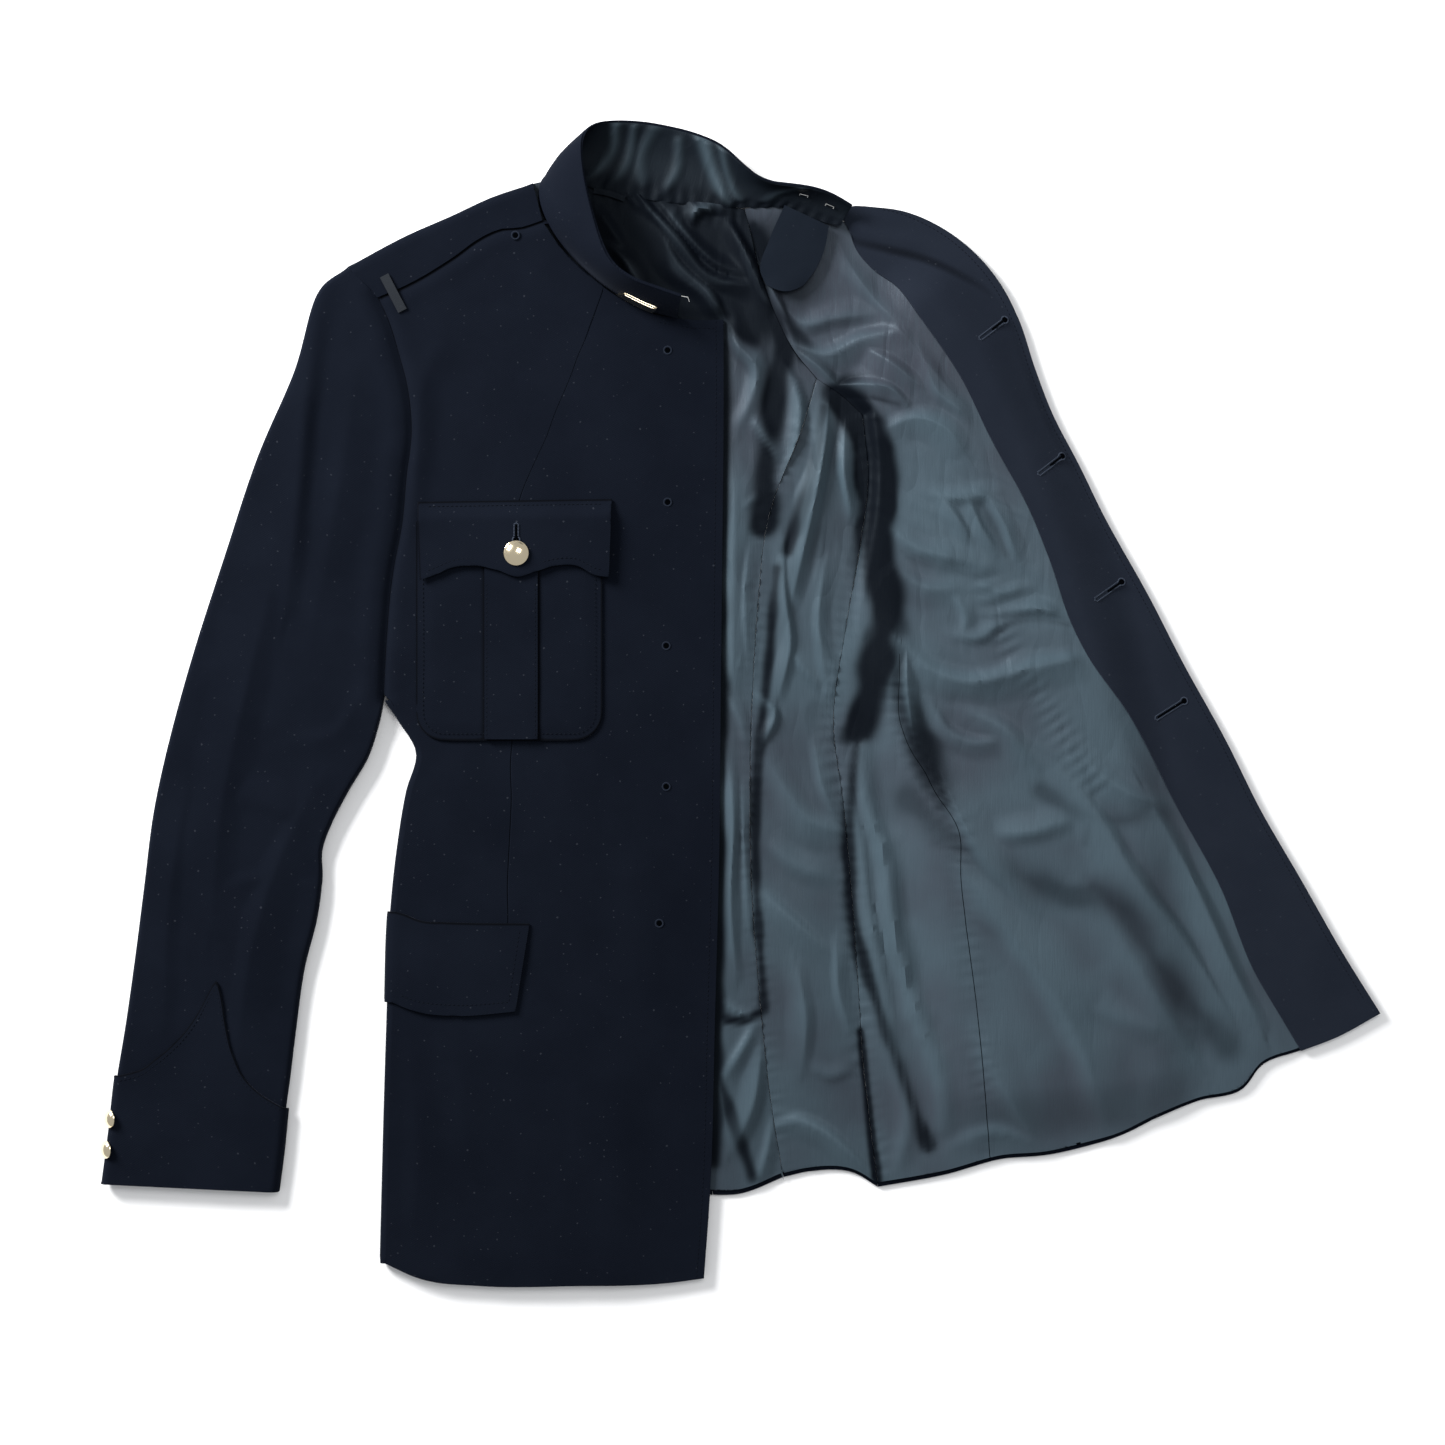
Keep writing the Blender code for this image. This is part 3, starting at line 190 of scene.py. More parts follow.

# %% [markdown]
# The satin has a warp of blue-green threads and a weft of purple-grey ones. Each cloth sheet stores how
# high it stands in its folds and how much painted shade it gets. The lighter warp colour is painted on
# the fold crests and the weft colour in the troughs: painted light, for the colour shift of a changeable
# satin. Where the painted shade is strong, a hollow gets little light, so the colour goes nearly black
# and a dull, nearly black shader is mixed in.

# %% Satin
def satin_material(name, warp, weft, painted_shade):
    made, tree, shader = material(name, Specular_IOR_Level=0.16, Anisotropic=0.4,
                                  Specular_Tint=(0.7, 0.87, 1, 1))
    place = cloth_place(tree)
    axes = tree.nodes.new("ShaderNodeSeparateXYZ")
    tree.links.new(place.socket, axes.inputs[0])
    u, v = Value(tree, axes.outputs[0]), Value(tree, axes.outputs[1])
    threads = (u * 9000.0).sine() * 0.5 + 0.5
    wander = place.node("ShaderNodeMapping", Vector=place, Rotation=(0, 0, 0.7), Scale=(38.0, 16.0, 1.0))
    fine_creases = 1.0 - ((noise(wander, 1.0, 1.5, 0.45) - 0.5) * 11.0).size().math("MINIMUM", 1.0)
    slubs = noise(place.node("ShaderNodeMapping", Vector=place, Scale=(900.0, 60.0, 1.0)), 1.0, 2.0)
    drift = noise(place, 9.0, 3.0)
    rise = mark(tree, "rise")
    painted_shade_amount = mark(tree, "painted_shade")
    seam = mark(tree, "seam")
    # Painted light: the fold crests (rise) get more of the lighter warp colour and the troughs more of the weft. The
    # weft share also drifts at random and grows in the upper part of the jacket.
    warm = (rise * -0.4 + drift.within(0.3, 0.7) * 0.6 + v.within(0.12, 0.27) * 0.6 + 0.1).within(0.0, 1.0)
    colour = warm.mix((*warp, 1), (*weft, 1))
    colour = (slubs.within(0.35, 0.8) * 0.35).mix(colour, (*[0.75 * part for part in warp], 1))
    # Painted shade: the colour goes towards the near-black shade colour where the painted shade is high.
    colour = painted_shade_amount.within(0.0, 1.1).mix(colour, (*painted_shade, 1))
    # Painted shade: near black along the seam mark, in the grooves of the lining seams.
    colour = (seam.within(0.2, 0.75) * 0.85).mix(colour, (0.0025, 0.0032, 0.0042, 1))
    Value.join(tree, colour, shader.inputs["Base Color"])
    Value.join(tree, 0.34 + slubs * 0.12 + painted_shade_amount * 0.12, shader.inputs["Roughness"])
    bump = place.node("ShaderNodeBump", Strength=0.8, Distance=0.0012,
                      Height=threads * 0.05 + slubs * 0.12 + fine_creases * (v.within(-0.12, 0.1) * 0.28 + 0.08))
    Value.join(tree, bump, shader.inputs["Normal"])
    # Painted shade: a dull, nearly black shader is mixed in where the painted shade is strong.
    dull = tree.nodes.new("ShaderNodeBsdfPrincipled")
    for label, value in (("Base Color", (*painted_shade, 1)), ("Roughness", 0.8), ("Specular IOR Level", 0.02)):
        dull.inputs[label].default_value = value
    both = painted_shade_amount.node("ShaderNodeMixShader", n0=painted_shade_amount.within(0.3, 1.0) * 0.65,
                       n1=Value(tree, shader.outputs[0]), n2=Value(tree, dull.outputs[0]))
    Value.join(tree, both, tree.nodes["Material Output"].inputs["Surface"])
    return made


satin = satin_material("satin", (0.047, 0.07, 0.087), (0.031, 0.0355, 0.047), (0.0012, 0.002, 0.004))
print("satin is ready")

# %% [markdown]
# The small hard pieces are gilt and bright wire. Thread is matt, and the ribbon of the shoulder loop is
# dark grey.

# %% Metal, thread and ribbon
def plain_metal(name, colour, rough, scratch):
    made, tree, shader = material(name, Metallic=1.0, Base_Color=(*colour, 1))
    place = Value(tree, tree.nodes.new("ShaderNodeTexCoord").outputs["Object"])
    Value.join(tree, rough + noise(place, 900.0, 3.0) * scratch, shader.inputs["Roughness"])
    return made


gilt = plain_metal("gilt", (0.86, 0.74, 0.52), 0.1, 0.12)
steel = plain_metal("steel", (0.8, 0.8, 0.78), 0.2, 0.1)
ribbon = wool_material("ribbon", (0.011, 0.013, 0.016), (0.028, 0.031, 0.036), 0.05)
thread, _, _ = material("thread", Roughness=0.7, Base_Color=(0.003, 0.0043, 0.0078, 1), Specular_IOR_Level=0.05)
pale_thread, _, _ = material("edge_thread", Roughness=0.6, Base_Color=(0.032, 0.041, 0.06, 1), Specular_IOR_Level=0.1)
ring_thread, _, _ = material("ring_thread", Roughness=0.7, Base_Color=(0.012, 0.016, 0.026, 1), Specular_IOR_Level=0.05)
# Painted shadow: a near-black material for the discs and boxes laid where eyelet holes and buttonhole slots open.
shadow, _, _ = material("slot", Roughness=0.9, Base_Color=(0.0006, 0.0008, 0.0012, 1), Specular_IOR_Level=0.0)
print("metal, thread and ribbon are ready")

# %% [markdown]
# Every outline is a smooth line through a few points in millimetres, read from the jacket as it lies.
# A panel is a grid of points between four such lines. Columns crowd together along a seam, so that the
# seam is a sharp little valley in the cloth.

# %% Lines and grids
def smooth_line(points, count):
    """Points along a smooth curve through the given points: count even steps, or at a list of shares."""
    shares = np.linspace(0, 1, count + 1) if np.isscalar(count) else np.asarray(count)
    knots = np.array(points, float)
    chord = np.r_[0, np.cumsum(np.linalg.norm(np.diff(knots, axis=0), axis=1))]
    if len(knots) == 2:
        return knots[0] + shares[:, None] * (knots[1] - knots[0])
    slopes = np.gradient(knots, chord, axis=0)
    fine = []
    for start in range(len(knots) - 1):
        span = chord[start + 1] - chord[start]
        s = np.linspace(0, 1, 25)[:, None]
        fine.append((2 * s**3 - 3 * s**2 + 1) * knots[start] + (s**3 - 2 * s**2 + s) * span * slopes[start]
                    + (3 * s**2 - 2 * s**3) * knots[start + 1] + (s**3 - s**2) * span * slopes[start + 1])
    fine = np.vstack([piece[:-1] for piece in fine] + [knots[-1:]])
    run = np.r_[0, np.cumsum(np.linalg.norm(np.diff(fine, axis=0), axis=1))]
    return np.column_stack([np.interp(shares * run[-1], run, fine[:, axis]) for axis in range(knots.shape[1])])


def chain(*stretches):
    """Several smooth lines end to end, each given as (points, count)."""
    lines = [smooth_line(points, count) for points, count in stretches]
    return np.vstack([line[:-1] for line in lines[:-1]] + [lines[-1]])


def shifted(line, distance):
    """The line moved to its left by distance."""
    along = np.gradient(line, axis=0)
    along /= np.linalg.norm(along, axis=1)[:, None]
    return line + distance * np.column_stack([-along[:, 1], along[:, 0]])


def between(start, line, end):
    """The line with its two ends moved to start and end."""
    return np.vstack([start, line[1:-1], end])


def patch(foot, head, left, right, across=None):
    """A grid of points that fills four edges. Across gives each column's share of the way, row by row."""
    even = np.linspace(0, 1, len(foot))
    across = np.broadcast_to(even if across is None else across, (len(left), np.shape(across)[-1]
                                                                   if across is not None else len(even)))
    up = np.linspace(0, 1, len(left))[:, None, None]
    low, high = (np.stack([np.interp(across, even, line[:, axis]) for axis in (0, 1)], axis=-1)
                 for line in (foot, head))
    share = across[..., None]
    return ((1 - up) * low + up * high + (1 - share) * left[:, None] + share * right[:, None]
            - ((1 - share) * (1 - up) * foot[0] + share * (1 - up) * foot[-1]
               + (1 - share) * up * head[0] + share * up * head[-1]))


def ease(share):
    """A smooth step from 0 to 1."""
    share = np.clip(share, 0, 1)
    return share * share * (3 - 2 * share)


def raised(grid, heights):
    """Grid points (x, y) with their heights."""
    return np.dstack([grid[..., 0], grid[..., 1], heights + np.zeros(grid.shape[:2])])


def near_line(grid, line):
    """For each grid point: its distance to a line of points, the share of the line where it is nearest,
    and the side of the line that it is on, 1 for left and -1 for right."""
    points = grid[..., :2]
    best = np.full(points.shape[:-1], np.inf)
    share, side = np.zeros(points.shape[:-1]), np.ones(points.shape[:-1])
    last = len(line) - 1
    for index in range(last):
        start, end = line[index], line[index + 1]
        run = end - start
        place = np.clip(((points - start) @ run) / (run @ run), 0, 1)
        off = points - (start + place[..., None] * run)
        gap = np.linalg.norm(off, axis=-1)
        nearer = gap < best
        best = np.where(nearer, gap, best)
        share = np.where(nearer, (index + place) / last, share)
        side = np.where(nearer, np.where(run[0] * off[..., 1] > run[1] * off[..., 0], 1, -1), side)
    return best, share, side


def inside(grid, outline):
    """Which grid points lie inside a closed outline."""
    x, y = grid[..., 0], grid[..., 1]
    found = np.zeros(x.shape, bool)
    for start, end in zip(outline, np.roll(outline, -1, axis=0)):
        crosses = (start[1] > y) != (end[1] > y)
        reach = start[0] + (y - start[1]) * (end[0] - start[0]) / (end[1] - start[1] + 1e-9)
        found ^= crosses & (x < reach)
    return found


def seam_columns(foot, head, left, right, seams, count):
    """Shares for the columns of a panel, so that one column runs along each seam, and those columns."""
    base = patch(foot, head, left, right, np.linspace(0, 1, 81))
    rows = np.arange(len(left))
    places = [np.zeros(len(left))]
    for line in seams:
        points = smooth_line(line, 90)
        spots = []
        for point in points:
            row, column = np.unravel_index(np.argmin(np.linalg.norm(base - point, axis=-1)), base.shape[:2])
            column = min(max(column, 1), 79)
            step = (base[row, column + 1] - base[row, column - 1]) / 2
            spots.append((row, (column + (point - base[row, column]) @ step / (step @ step)) / 80))
        spots = np.array(sorted(spots))
        share = np.interp(rows, spots[:, 0], spots[:, 1])
        for _ in range(4):
            share[1:-1] = (share[:-2] + 2 * share[1:-1] + share[2:]) / 4
        places.append(share)
    places.append(np.ones(len(left)))
    across, found = [], []
    for start, end in zip(places, places[1:]):
        steps = max(4, round(count * float(np.mean(end - start))))
        even = np.linspace(0, 1, steps + 1)
        crowded = even - 0.82 * np.sin(2 * np.pi * even) / (2 * np.pi)
        block = start[:, None] + (end - start)[:, None] * crowded
        across.append(block if not across else block[:, 1:])
        found.append(sum(part.shape[1] for part in across) - 1)
    return np.hstack(across), found[:-1]


def bumps(places, size, seed):
    """Smooth random heights from -1 to 1, about size millimetres apart."""
    lattice = np.random.default_rng(seed).uniform(-1, 1, (97, 97))
    u, v = places[..., 0] / size + 48.5, places[..., 1] / size + 48.5
    i, j = np.floor(u).astype(int) % 96, np.floor(v).astype(int) % 96
    s, t = ease(u - np.floor(u)), ease(v - np.floor(v))
    return ((1 - t) * ((1 - s) * lattice[j, i] + s * lattice[j, i + 1])
            + t * ((1 - s) * lattice[j + 1, i] + s * lattice[j + 1, i + 1]))


def folds(grid, table):
    """Heights of soft folds. Each follows its line. Its crest goes from round (2) to creased (1), and its
    lean makes the left flank wide and the right one steep, or the other way about."""
    heights = np.zeros(grid.shape[:2])
    for number, fold in enumerate(table):
        away, share, side = near_line(grid, smooth_line(fold["line"], 16))
        lean = fold.get("lean", 0.3 if number % 2 else -0.3)
        half = fold["half"] * (1 + lean * side) * (1 + 0.25 * bumps(grid, 27, 5 + number))
        hump = np.clip(1 - (away / half)**fold.get("crest", 1.1), 0, 1)**1.3
        fade = np.sin(np.pi * (0.06 + 0.88 * np.clip(share, 0, 1)))**0.8
        own = fold["rise"] * hump * fade
        heights = np.maximum(heights, own) if fold["rise"] > 0 else heights + own
    return heights


def creases(grid, size, turn, stretch, seed):
    """Sharp little ridges, drawn out along one direction: they lie where smooth random heights pass zero."""
    x = grid[..., 0] * np.cos(turn) + grid[..., 1] * np.sin(turn)
    y = grid[..., 1] * np.cos(turn) - grid[..., 0] * np.sin(turn)
    wander = 0.3 * size * bumps(grid, 2.2 * size, seed + 1)
    ridge = 1 - 2.4 * np.abs(bumps(np.dstack([x / stretch + wander, y + wander]), size, seed))
    return np.clip(ridge, 0, 1)**1.4 * (0.5 + 0.5 * bumps(grid, 1.5 * size, seed + 2))


def puckers(grid, line, reach, height, pitch, seed):
    """Small ripples that run into a gathered seam from both sides."""
    away, share, _ = near_line(grid, smooth_line(line, 40))
    length = np.linalg.norm(np.diff(smooth_line(line, 40), axis=0), axis=1).sum()
    wave = np.sin(2 * np.pi * share * length / pitch + 3 * bumps(grid, 25, seed))
    strength = 0.5 + 0.5 * bumps(grid, 40, seed + 1)
    return height * wave * strength * np.exp(-(away / reach)**2)


# %% [markdown]
# A sheet of cloth is a grid from Blender's own operator. Its points are moved onto the panel, and an
# extrusion gives the second face and the rim between them. The rim is bevelled, because the turned edge
# of a garment is round. Each sheet then says what it was cut from, in its flat size.

# %% Sheets, tubes and small round pieces
made_pieces = []


def settle(name, mesh, finish, node=None, smooth=0.9):
    """A bmesh in metres turned into an object that rides with the jacket and replaces its solid."""
    bmesh.ops.recalc_face_normals(mesh, faces=mesh.faces[:])
    data = bpy.data.meshes.new(name)
    mesh.to_mesh(data)
    mesh.free()
    data.shade_smooth()
    data.set_sharp_from_angle(angle=smooth)
    data.materials.append(finish)
    thing = bpy.data.objects.new(name, data)
    bpy.context.scene.collection.objects.link(thing)
    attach(thing, "root")
    if node:
        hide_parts(node)
    made_pieces.append(thing)
    return thing


def store(thing, name, values):
    """One number for each point of the mesh, for its material to read."""
    layer = thing.data.attributes.new(name, "FLOAT", "POINT")
    layer.data.foreach_set("value", np.ascontiguousarray(values, np.float32))


def places_on(thing, under, over):
    """For each point of the mesh, the grid point that it came from. A bevel's new points take the nearest."""
    count = len(thing.data.vertices)
    places, where = np.zeros(count, np.int32), np.zeros(3 * count, np.float32)
    thing.data.attributes["place"].data.foreach_get("value", places)
    thing.data.vertices.foreach_get("co", where)
    where = where.reshape(-1, 3) / MM
    grids = [grid.reshape(-1, 3) for grid in (under, over)]
    places = np.clip(places, 0, len(grids[0]) - 1)
    away = np.minimum(*(np.abs(where - grid[places]).max(axis=1) for grid in grids))
    tree = kdtree.KDTree(2 * len(grids[0]))
    for index, point in enumerate(np.vstack(grids)):
        tree.insert(point, index)
    tree.balance()
    for index in np.nonzero(away > 0.01)[0]:
        places[index] = tree.find(where[index])[1] % len(grids[0])
    return places


def cut_of(grid, keep=None):
    """Width, length and area in metres of the flat cloth that a grid of points was cut from."""
    across, along = np.diff(grid, axis=1)[:-1], np.diff(grid, axis=0)[:, :-1]
    kept = np.ones(across.shape[:2]) if keep is None else np.array(
        [[keep(row, column) for column in range(across.shape[1])] for row in range(across.shape[0])], float)
    width = (np.linalg.norm(across, axis=-1) * kept).sum(axis=1).max() * MM
    length = (np.linalg.norm(along, axis=-1) * kept).sum(axis=0).max() * MM
    area = float((np.linalg.norm(np.cross(across, along), axis=-1) * kept).sum()) * MM * MM
    return width, length, min(area, 0.999 * width * length)


def cloth(name, under, over, finish, node=None, keep=None, marks=None, flat=None, rim=0.45,
          declare=True):
    """A closed sheet of cloth between two grids of points, declared with the size of its flat cut."""
    rows, columns = under.shape[:2]
    mesh = bmesh.new()
    bmesh.ops.create_grid(mesh, x_segments=columns - 1, y_segments=rows - 1, size=1)
    place = mesh.verts.layers.int.new("place")
    for vert in mesh.verts:
        vert[place] = round((vert.co.y + 1) / 2 * (rows - 1)) * columns + round((vert.co.x + 1) / 2 * (columns - 1))
    if keep is not None:
        spare = [face for face in mesh.faces
                 if not keep(min(vert[place] for vert in face.verts) // columns,
                             min(vert[place] % columns for vert in face.verts))]
        bmesh.ops.delete(mesh, geom=spare, context="FACES")
    lower = mesh.verts[:]
    made = bmesh.ops.extrude_face_region(mesh, geom=mesh.faces[:], use_keep_orig=True)
    upper = [item for item in made["geom"] if isinstance(item, bmesh.types.BMVert)]
    for verts, points in ((lower, under), (upper, over)):
        flat_points = (points.reshape(-1, 3) * MM).tolist()
        for vert in verts:
            vert.co = flat_points[vert[place]]
    if rim:
        top = set(upper)
        corners = [edge for edge in mesh.edges if (edge.verts[0] in top) == (edge.verts[1] in top)
                   and any(len({vert in top for vert in face.verts}) == 2 for face in edge.link_faces)]
        bmesh.ops.bevel(mesh, geom=corners, offset=rim * MM, offset_type="OFFSET", segments=2, profile=0.5,
                        affect="EDGES", material=-1)
    thing = settle(name, mesh, finish, node)
    places = places_on(thing, under, over)
    for label in ("seam", "rise", "painted_shade"):
        values = (marks or {}).get(label)
        store(thing, label, np.zeros(len(places)) if values is None else values.reshape(-1)[places])
    where = (over[..., :2] if flat is None else flat).reshape(-1, 2) * MM
    corner_of = np.zeros(len(thing.data.loops), np.int32)
    thing.data.loops.foreach_get("vertex_index", corner_of)
    layer = thing.data.uv_layers.new(name="cloth")
    layer.data.foreach_set("uv", np.ascontiguousarray(where[places[corner_of]], np.float32).reshape(-1))
    if declare:
        width, length, area = cut_of(over, keep)
        print(f"{name}: {len(thing.data.polygons)} faces, cut {width:.3f} by {length:.3f} m, {area:.4f} m2")
    return thing


def turned(name, profile, base, axis, finish, node, steps=48):
    """A turned piece. The profile lists (radius, height) from the centre of its foot to its crown."""
    mesh = bmesh.new()
    verts = [mesh.verts.new((radius * MM, 0, height * MM)) for radius, height in profile]
    edges = [mesh.edges.new(pair) for pair in zip(verts, verts[1:])]
    bmesh.ops.spin(mesh, geom=verts + edges, cent=(0, 0, 0), axis=(0, 0, 1), angle=2 * np.pi,
                   steps=steps, use_merge=True)
    bmesh.ops.remove_doubles(mesh, verts=mesh.verts[:], dist=1e-6)
    turn = Vector((0, 0, 1)).rotation_difference(Vector(axis)).to_matrix()
    for vert in mesh.verts:
        vert.co = turn @ vert.co + Vector(base) * MM
    return settle(name, mesh, finish, node, smooth=0.6)


def stitches(name, lines, finish, pitch=3.2, length=2.3, thick=0.26):
    """Machine stitches along lines of points: small rounded lengths of thread, pressed into the cloth."""
    mesh = bmesh.new()
    for line in lines:
        run = np.r_[0, np.cumsum(np.linalg.norm(np.diff(line, axis=0), axis=1))]
        count = max(2, round(run[-1] / pitch))
        for index in range(count):
            middle, ahead = ([np.interp((index + 0.5 + step) * run[-1] / count, run, line[:, axis])
                              for axis in range(3)] for step in (0, 0.1))
            turn = Vector(np.subtract(ahead, middle)).to_track_quat("X", "Z").to_matrix().to_4x4()
            size = Matrix.Diagonal((length / 2 * MM, thick * MM, thick * 0.7 * MM, 1))
            bmesh.ops.create_icosphere(mesh, subdivisions=1, radius=1,
                                       matrix=Matrix.Translation(Vector(middle) * MM) @ turn @ size)
    return settle(name, mesh, finish, smooth=3.0)


# %% [markdown]
# The tables give the jacket's outlines as it lies. They are the same lines that the solids follow, so
# each finer sheet lands where its solid was.

# %% Outlines
SIDE_FOLD = [(-260, -402), (-257, -286), (-255, -221), (-253, -156), (-248, -106), (-241, -63),
             (-234, -35), (-246, -14), (-257, 2)]
ARMHOLE = [(-257, 2), (-255, 45), (-250, 96), (-244, 127), (-240, 167), (-237, 189), (-240, 227),
           (-246, 250), (-253, 273), (-261, 291)]
SHOULDER_POINT = (-283, 313)
FRONT_HEM = [(-230, -413), (-187, -418), (-120, -418), (-50, -416), (-27, -413)]
FRONT_EDGE = [(-27, -413), (-23, -358), (-19, -221), (-16, -106), (-15, 0), (-14, 96), (-13, 197),
              (-13, 275)]
NECKLINE = [(-13, 275), (-37, 275), (-62, 279), (-87, 290), (-109, 306), (-127, 323), (-143.5, 346)]
SHOULDER_SEAM = [(-261, 291), (-240, 300), (-208, 319), (-185, 335), (-173, 340), (-159, 341),
                 (-143.5, 346)]
SHOULDER_FOLD = [(-283, 313), (-240, 336), (-208, 350), (-180, 363), (-150, 373)]
BACK_HEM_HIDDEN = [(-248, -401), (-190, -392), (-120, -374), (-60, -359)]
BACK_HEM_SHOWN = [(-60, -359), (-32, -354), (-1, -353), (30, -341)]
BACK_NECK = [(-150, 373), (-127, 377), (-105, 372), (-78, 366), (-50, 362), (-25, 359), (2, 355)]
BACK_SIDE_SEAM = [(30, -341), (21, -286), (13, -210), (7, -127), (6, -63), (8, 10), (12, 74), (19, 132),
                  (45, 202), (54, 233)]
VALLEY_EDGE = [(54, 233), (37, 254), (28, 271), (13, 310), (6, 340), (2, 355)]
SIDE_HEM = [(30, -341), (48, -337), (81, -338), (98, -348)]
UNDERARM = [(87, 207), (73, 220), (54, 233)]
VENT_SEAM = [(98, -348), (86, -240), (85, -223), (80, -148), (73, -71), (66, -16), (75, 55), (86, 117),
             (91, 161), (87, 207)]
LEFT_NECK = [(2, 355), (17, 357), (31, 357), (47, 353), (62, 348), (76, 345)]
EDGE_NECK = [(76, 345), (71, 351), (78, 356.5), (89, 357)]
FACING_SEAM = [(402, -250), (386, -223), (369, -194), (344, -132), (313, -75), (278, -9), (247, 35),
               (236, 57), (221, 101), (207, 136), (177, 192), (157, 233), (127, 277), (110, 300),
               (95, 311), (83, 325), (76, 345)]
LEFT_EDGE = [(459, -223), (431, -178), (402, -127), (373, -77), (348, -27), (316, 31), (294, 74),
             (258, 139), (244, 168), (222, 211), (211, 240), (199, 276), (186, 301), (168, 323),
             (143, 342), (118, 353), (89, 357)]
LEFT_HEM = [(98, -348), (147, -339), (187, -328), (220, -325), (247, -319), (273, -311), (299, -298),
            (329, -286), (360, -278), (375, -260), (402, -250)]
FACING_HEM = [(402, -250), (428, -240), (459, -223)]

RIGHT_SLEEVE = [
    dict(outer=(-283, 313), inner=(-257, 2), bow=1.0, height=9.4),
    dict(outer=(-305, 293), inner=(-260, -14), bow=0.85, height=10.4),
    dict(outer=(-321, 238), inner=(-268, -39), bow=0.62, height=11.0),
    dict(outer=(-348, 175), inner=(-282, -63), bow=0.38, height=11.0),
    dict(outer=(-372, 103), inner=(-294, -86), bow=0.18, height=10.6),
    dict(outer=(-393, 38), inner=(-301, -106), bow=0.06, height=10.2),
    dict(outer=(-410, -23), inner=(-301, -127), bow=0.0, height=10.0),
    dict(outer=(-422, -77), inner=(-305, -156), bow=0.0, height=9.8),
    dict(outer=(-429, -131), inner=(-314, -192), bow=0.0, height=9.4),
    dict(outer=(-435, -178), inner=(-320, -235), bow=0.0, height=9.0),
    dict(outer=(-442, -228), inner=(-324, -268), bow=0.0, height=8.8),
    dict(outer=(-449, -271), inner=(-327, -290), bow=0.0, height=8.6),
    dict(outer=(-453, -307), inner=(-330, -320), bow=0.0, height=8.4),
    dict(outer=(-458, -345), inner=(-334, -351), bow=0.0, height=8.2),
]
LEFT_SLEEVE = [
    dict(outer=(135, 280), inner=(101, 200)), dict(outer=(162, 250), inner=(105, 160)),
    dict(outer=(190, 188), inner=(112, 120)), dict(outer=(220, 115), inner=(120, 60)),
    dict(outer=(244, 40), inner=(129, 0)), dict(outer=(262, -35), inner=(143, -60)),
    dict(outer=(274, -100), inner=(154, -120)), dict(outer=(282, -165), inner=(161, -180)),
    dict(outer=(286, -222), inner=(167, -235)), dict(outer=(288, -262), inner=(171, -272)),
]
WOOL, FRONT_WALL, LINING, FACING, GAP, SEAM = 2.0, 2.4, 1.0, 1.8, 0.3, 0.15
BODY_HEIGHT, EDGE_HEIGHT, CHEST_RISE, SIDE_TURN = 9.4, 4.1, 90.0, 12.0
FINE = 8                  # steps of a fine grid for one step of its solid's grid
SIDE_ROWS, ARMHOLE_ROWS, EDGE_ROWS, NECK_ROWS, SEAM_ROWS = 10 * FINE, 9 * FINE, 13 * FINE, 6 * FINE, 15 * FINE
UNDERARM_ROWS, VALLEY_ROWS = 4 * FINE, 5 * FINE
print("outlines: front edge", FRONT_EDGE[0], "to", FRONT_EDGE[-1])

# %% [markdown]
# The right front lies over the back and turns under along the side. It is canvassed, so it stays smooth:
# only shallow troughs beside the armhole, under the waist and in the skirt. Its dart runs down from the
# neck behind the pocket, and on below the pocket to the flap.

# %% Right front
FOLD_OUTSIDE = [(4.7, 0.0), (1.3, 1.3), (0.0, 4.7), (1.3, 8.1), (4.7, BODY_HEIGHT)]
FOLD_INSIDE = [(5.4, WOOL), (3.2, 3.0), (2.3, 4.7), (3.2, 6.2), (5.4, BODY_HEIGHT - FRONT_WALL)]
DARTS = [[(-97, 302), (-100, 295), (-109, 269), (-125, 229), (-141, 189), (-160, 146), (-165, 60), (-165, -28),
          (-166, -91), (-168, -156), (-168, -230)]]
FRONT_FOLDS = [
    dict(line=[(-215, 262), (-229, 225), (-232, 180), (-236, 130)], half=20, rise=1.8),
    dict(line=[(-226, -50), (-200, -75), (-170, -100)], half=26, rise=1.9),
    dict(line=[(-236, -96), (-214, -128), (-180, -150)], half=16, rise=1.2),
    dict(line=[(-205, -238), (-200, -280), (-196, -330)], half=26, rise=1.6),
    dict(line=[(-80, -250), (-86, -330), (-84, -400)], half=34, rise=1.6),
    dict(line=[(-238, -250), (-232, -310), (-236, -380)], half=14, rise=1.2),
    dict(line=[(-110, 245), (-80, 210), (-60, 150)], half=34, rise=0.9),
    dict(line=[(-60, -60), (-70, -140), (-64, -220)], half=30, rise=0.8),
    dict(line=[(-130, -40), (-112, -110), (-120, -200)], half=26, rise=0.9),
]


def resting_front(grid):
    """Underside of the right front over the floor."""
    edge = chain((FRONT_EDGE, 26), (NECKLINE, 12))
    away, *_ = near_line(grid, edge[:27])
    full = BODY_HEIGHT - FRONT_WALL
    soft = 0.35 * bumps(grid, 55, 3) + 0.18 * bumps(grid, 21, 4)
    return EDGE_HEIGHT + (full - EDGE_HEIGHT) * ease(away / CHEST_RISE) + folds(grid, FRONT_FOLDS) \
        + soft * ease(away / 30)


def front_top(grid):
    """Upper face of the right front. It rolls down into the armhole and shoulder seams."""
    seam = np.vstack([smooth_line(ARMHOLE, 40), smooth_line(SHOULDER_SEAM, 30)[1:]])
    away, *_ = near_line(grid, seam)
    return resting_front(grid) + FRONT_WALL - 1.5 * np.exp(-(away / 3.2)**2) + 0.5 * np.exp(-((away - 9) / 6)**2)


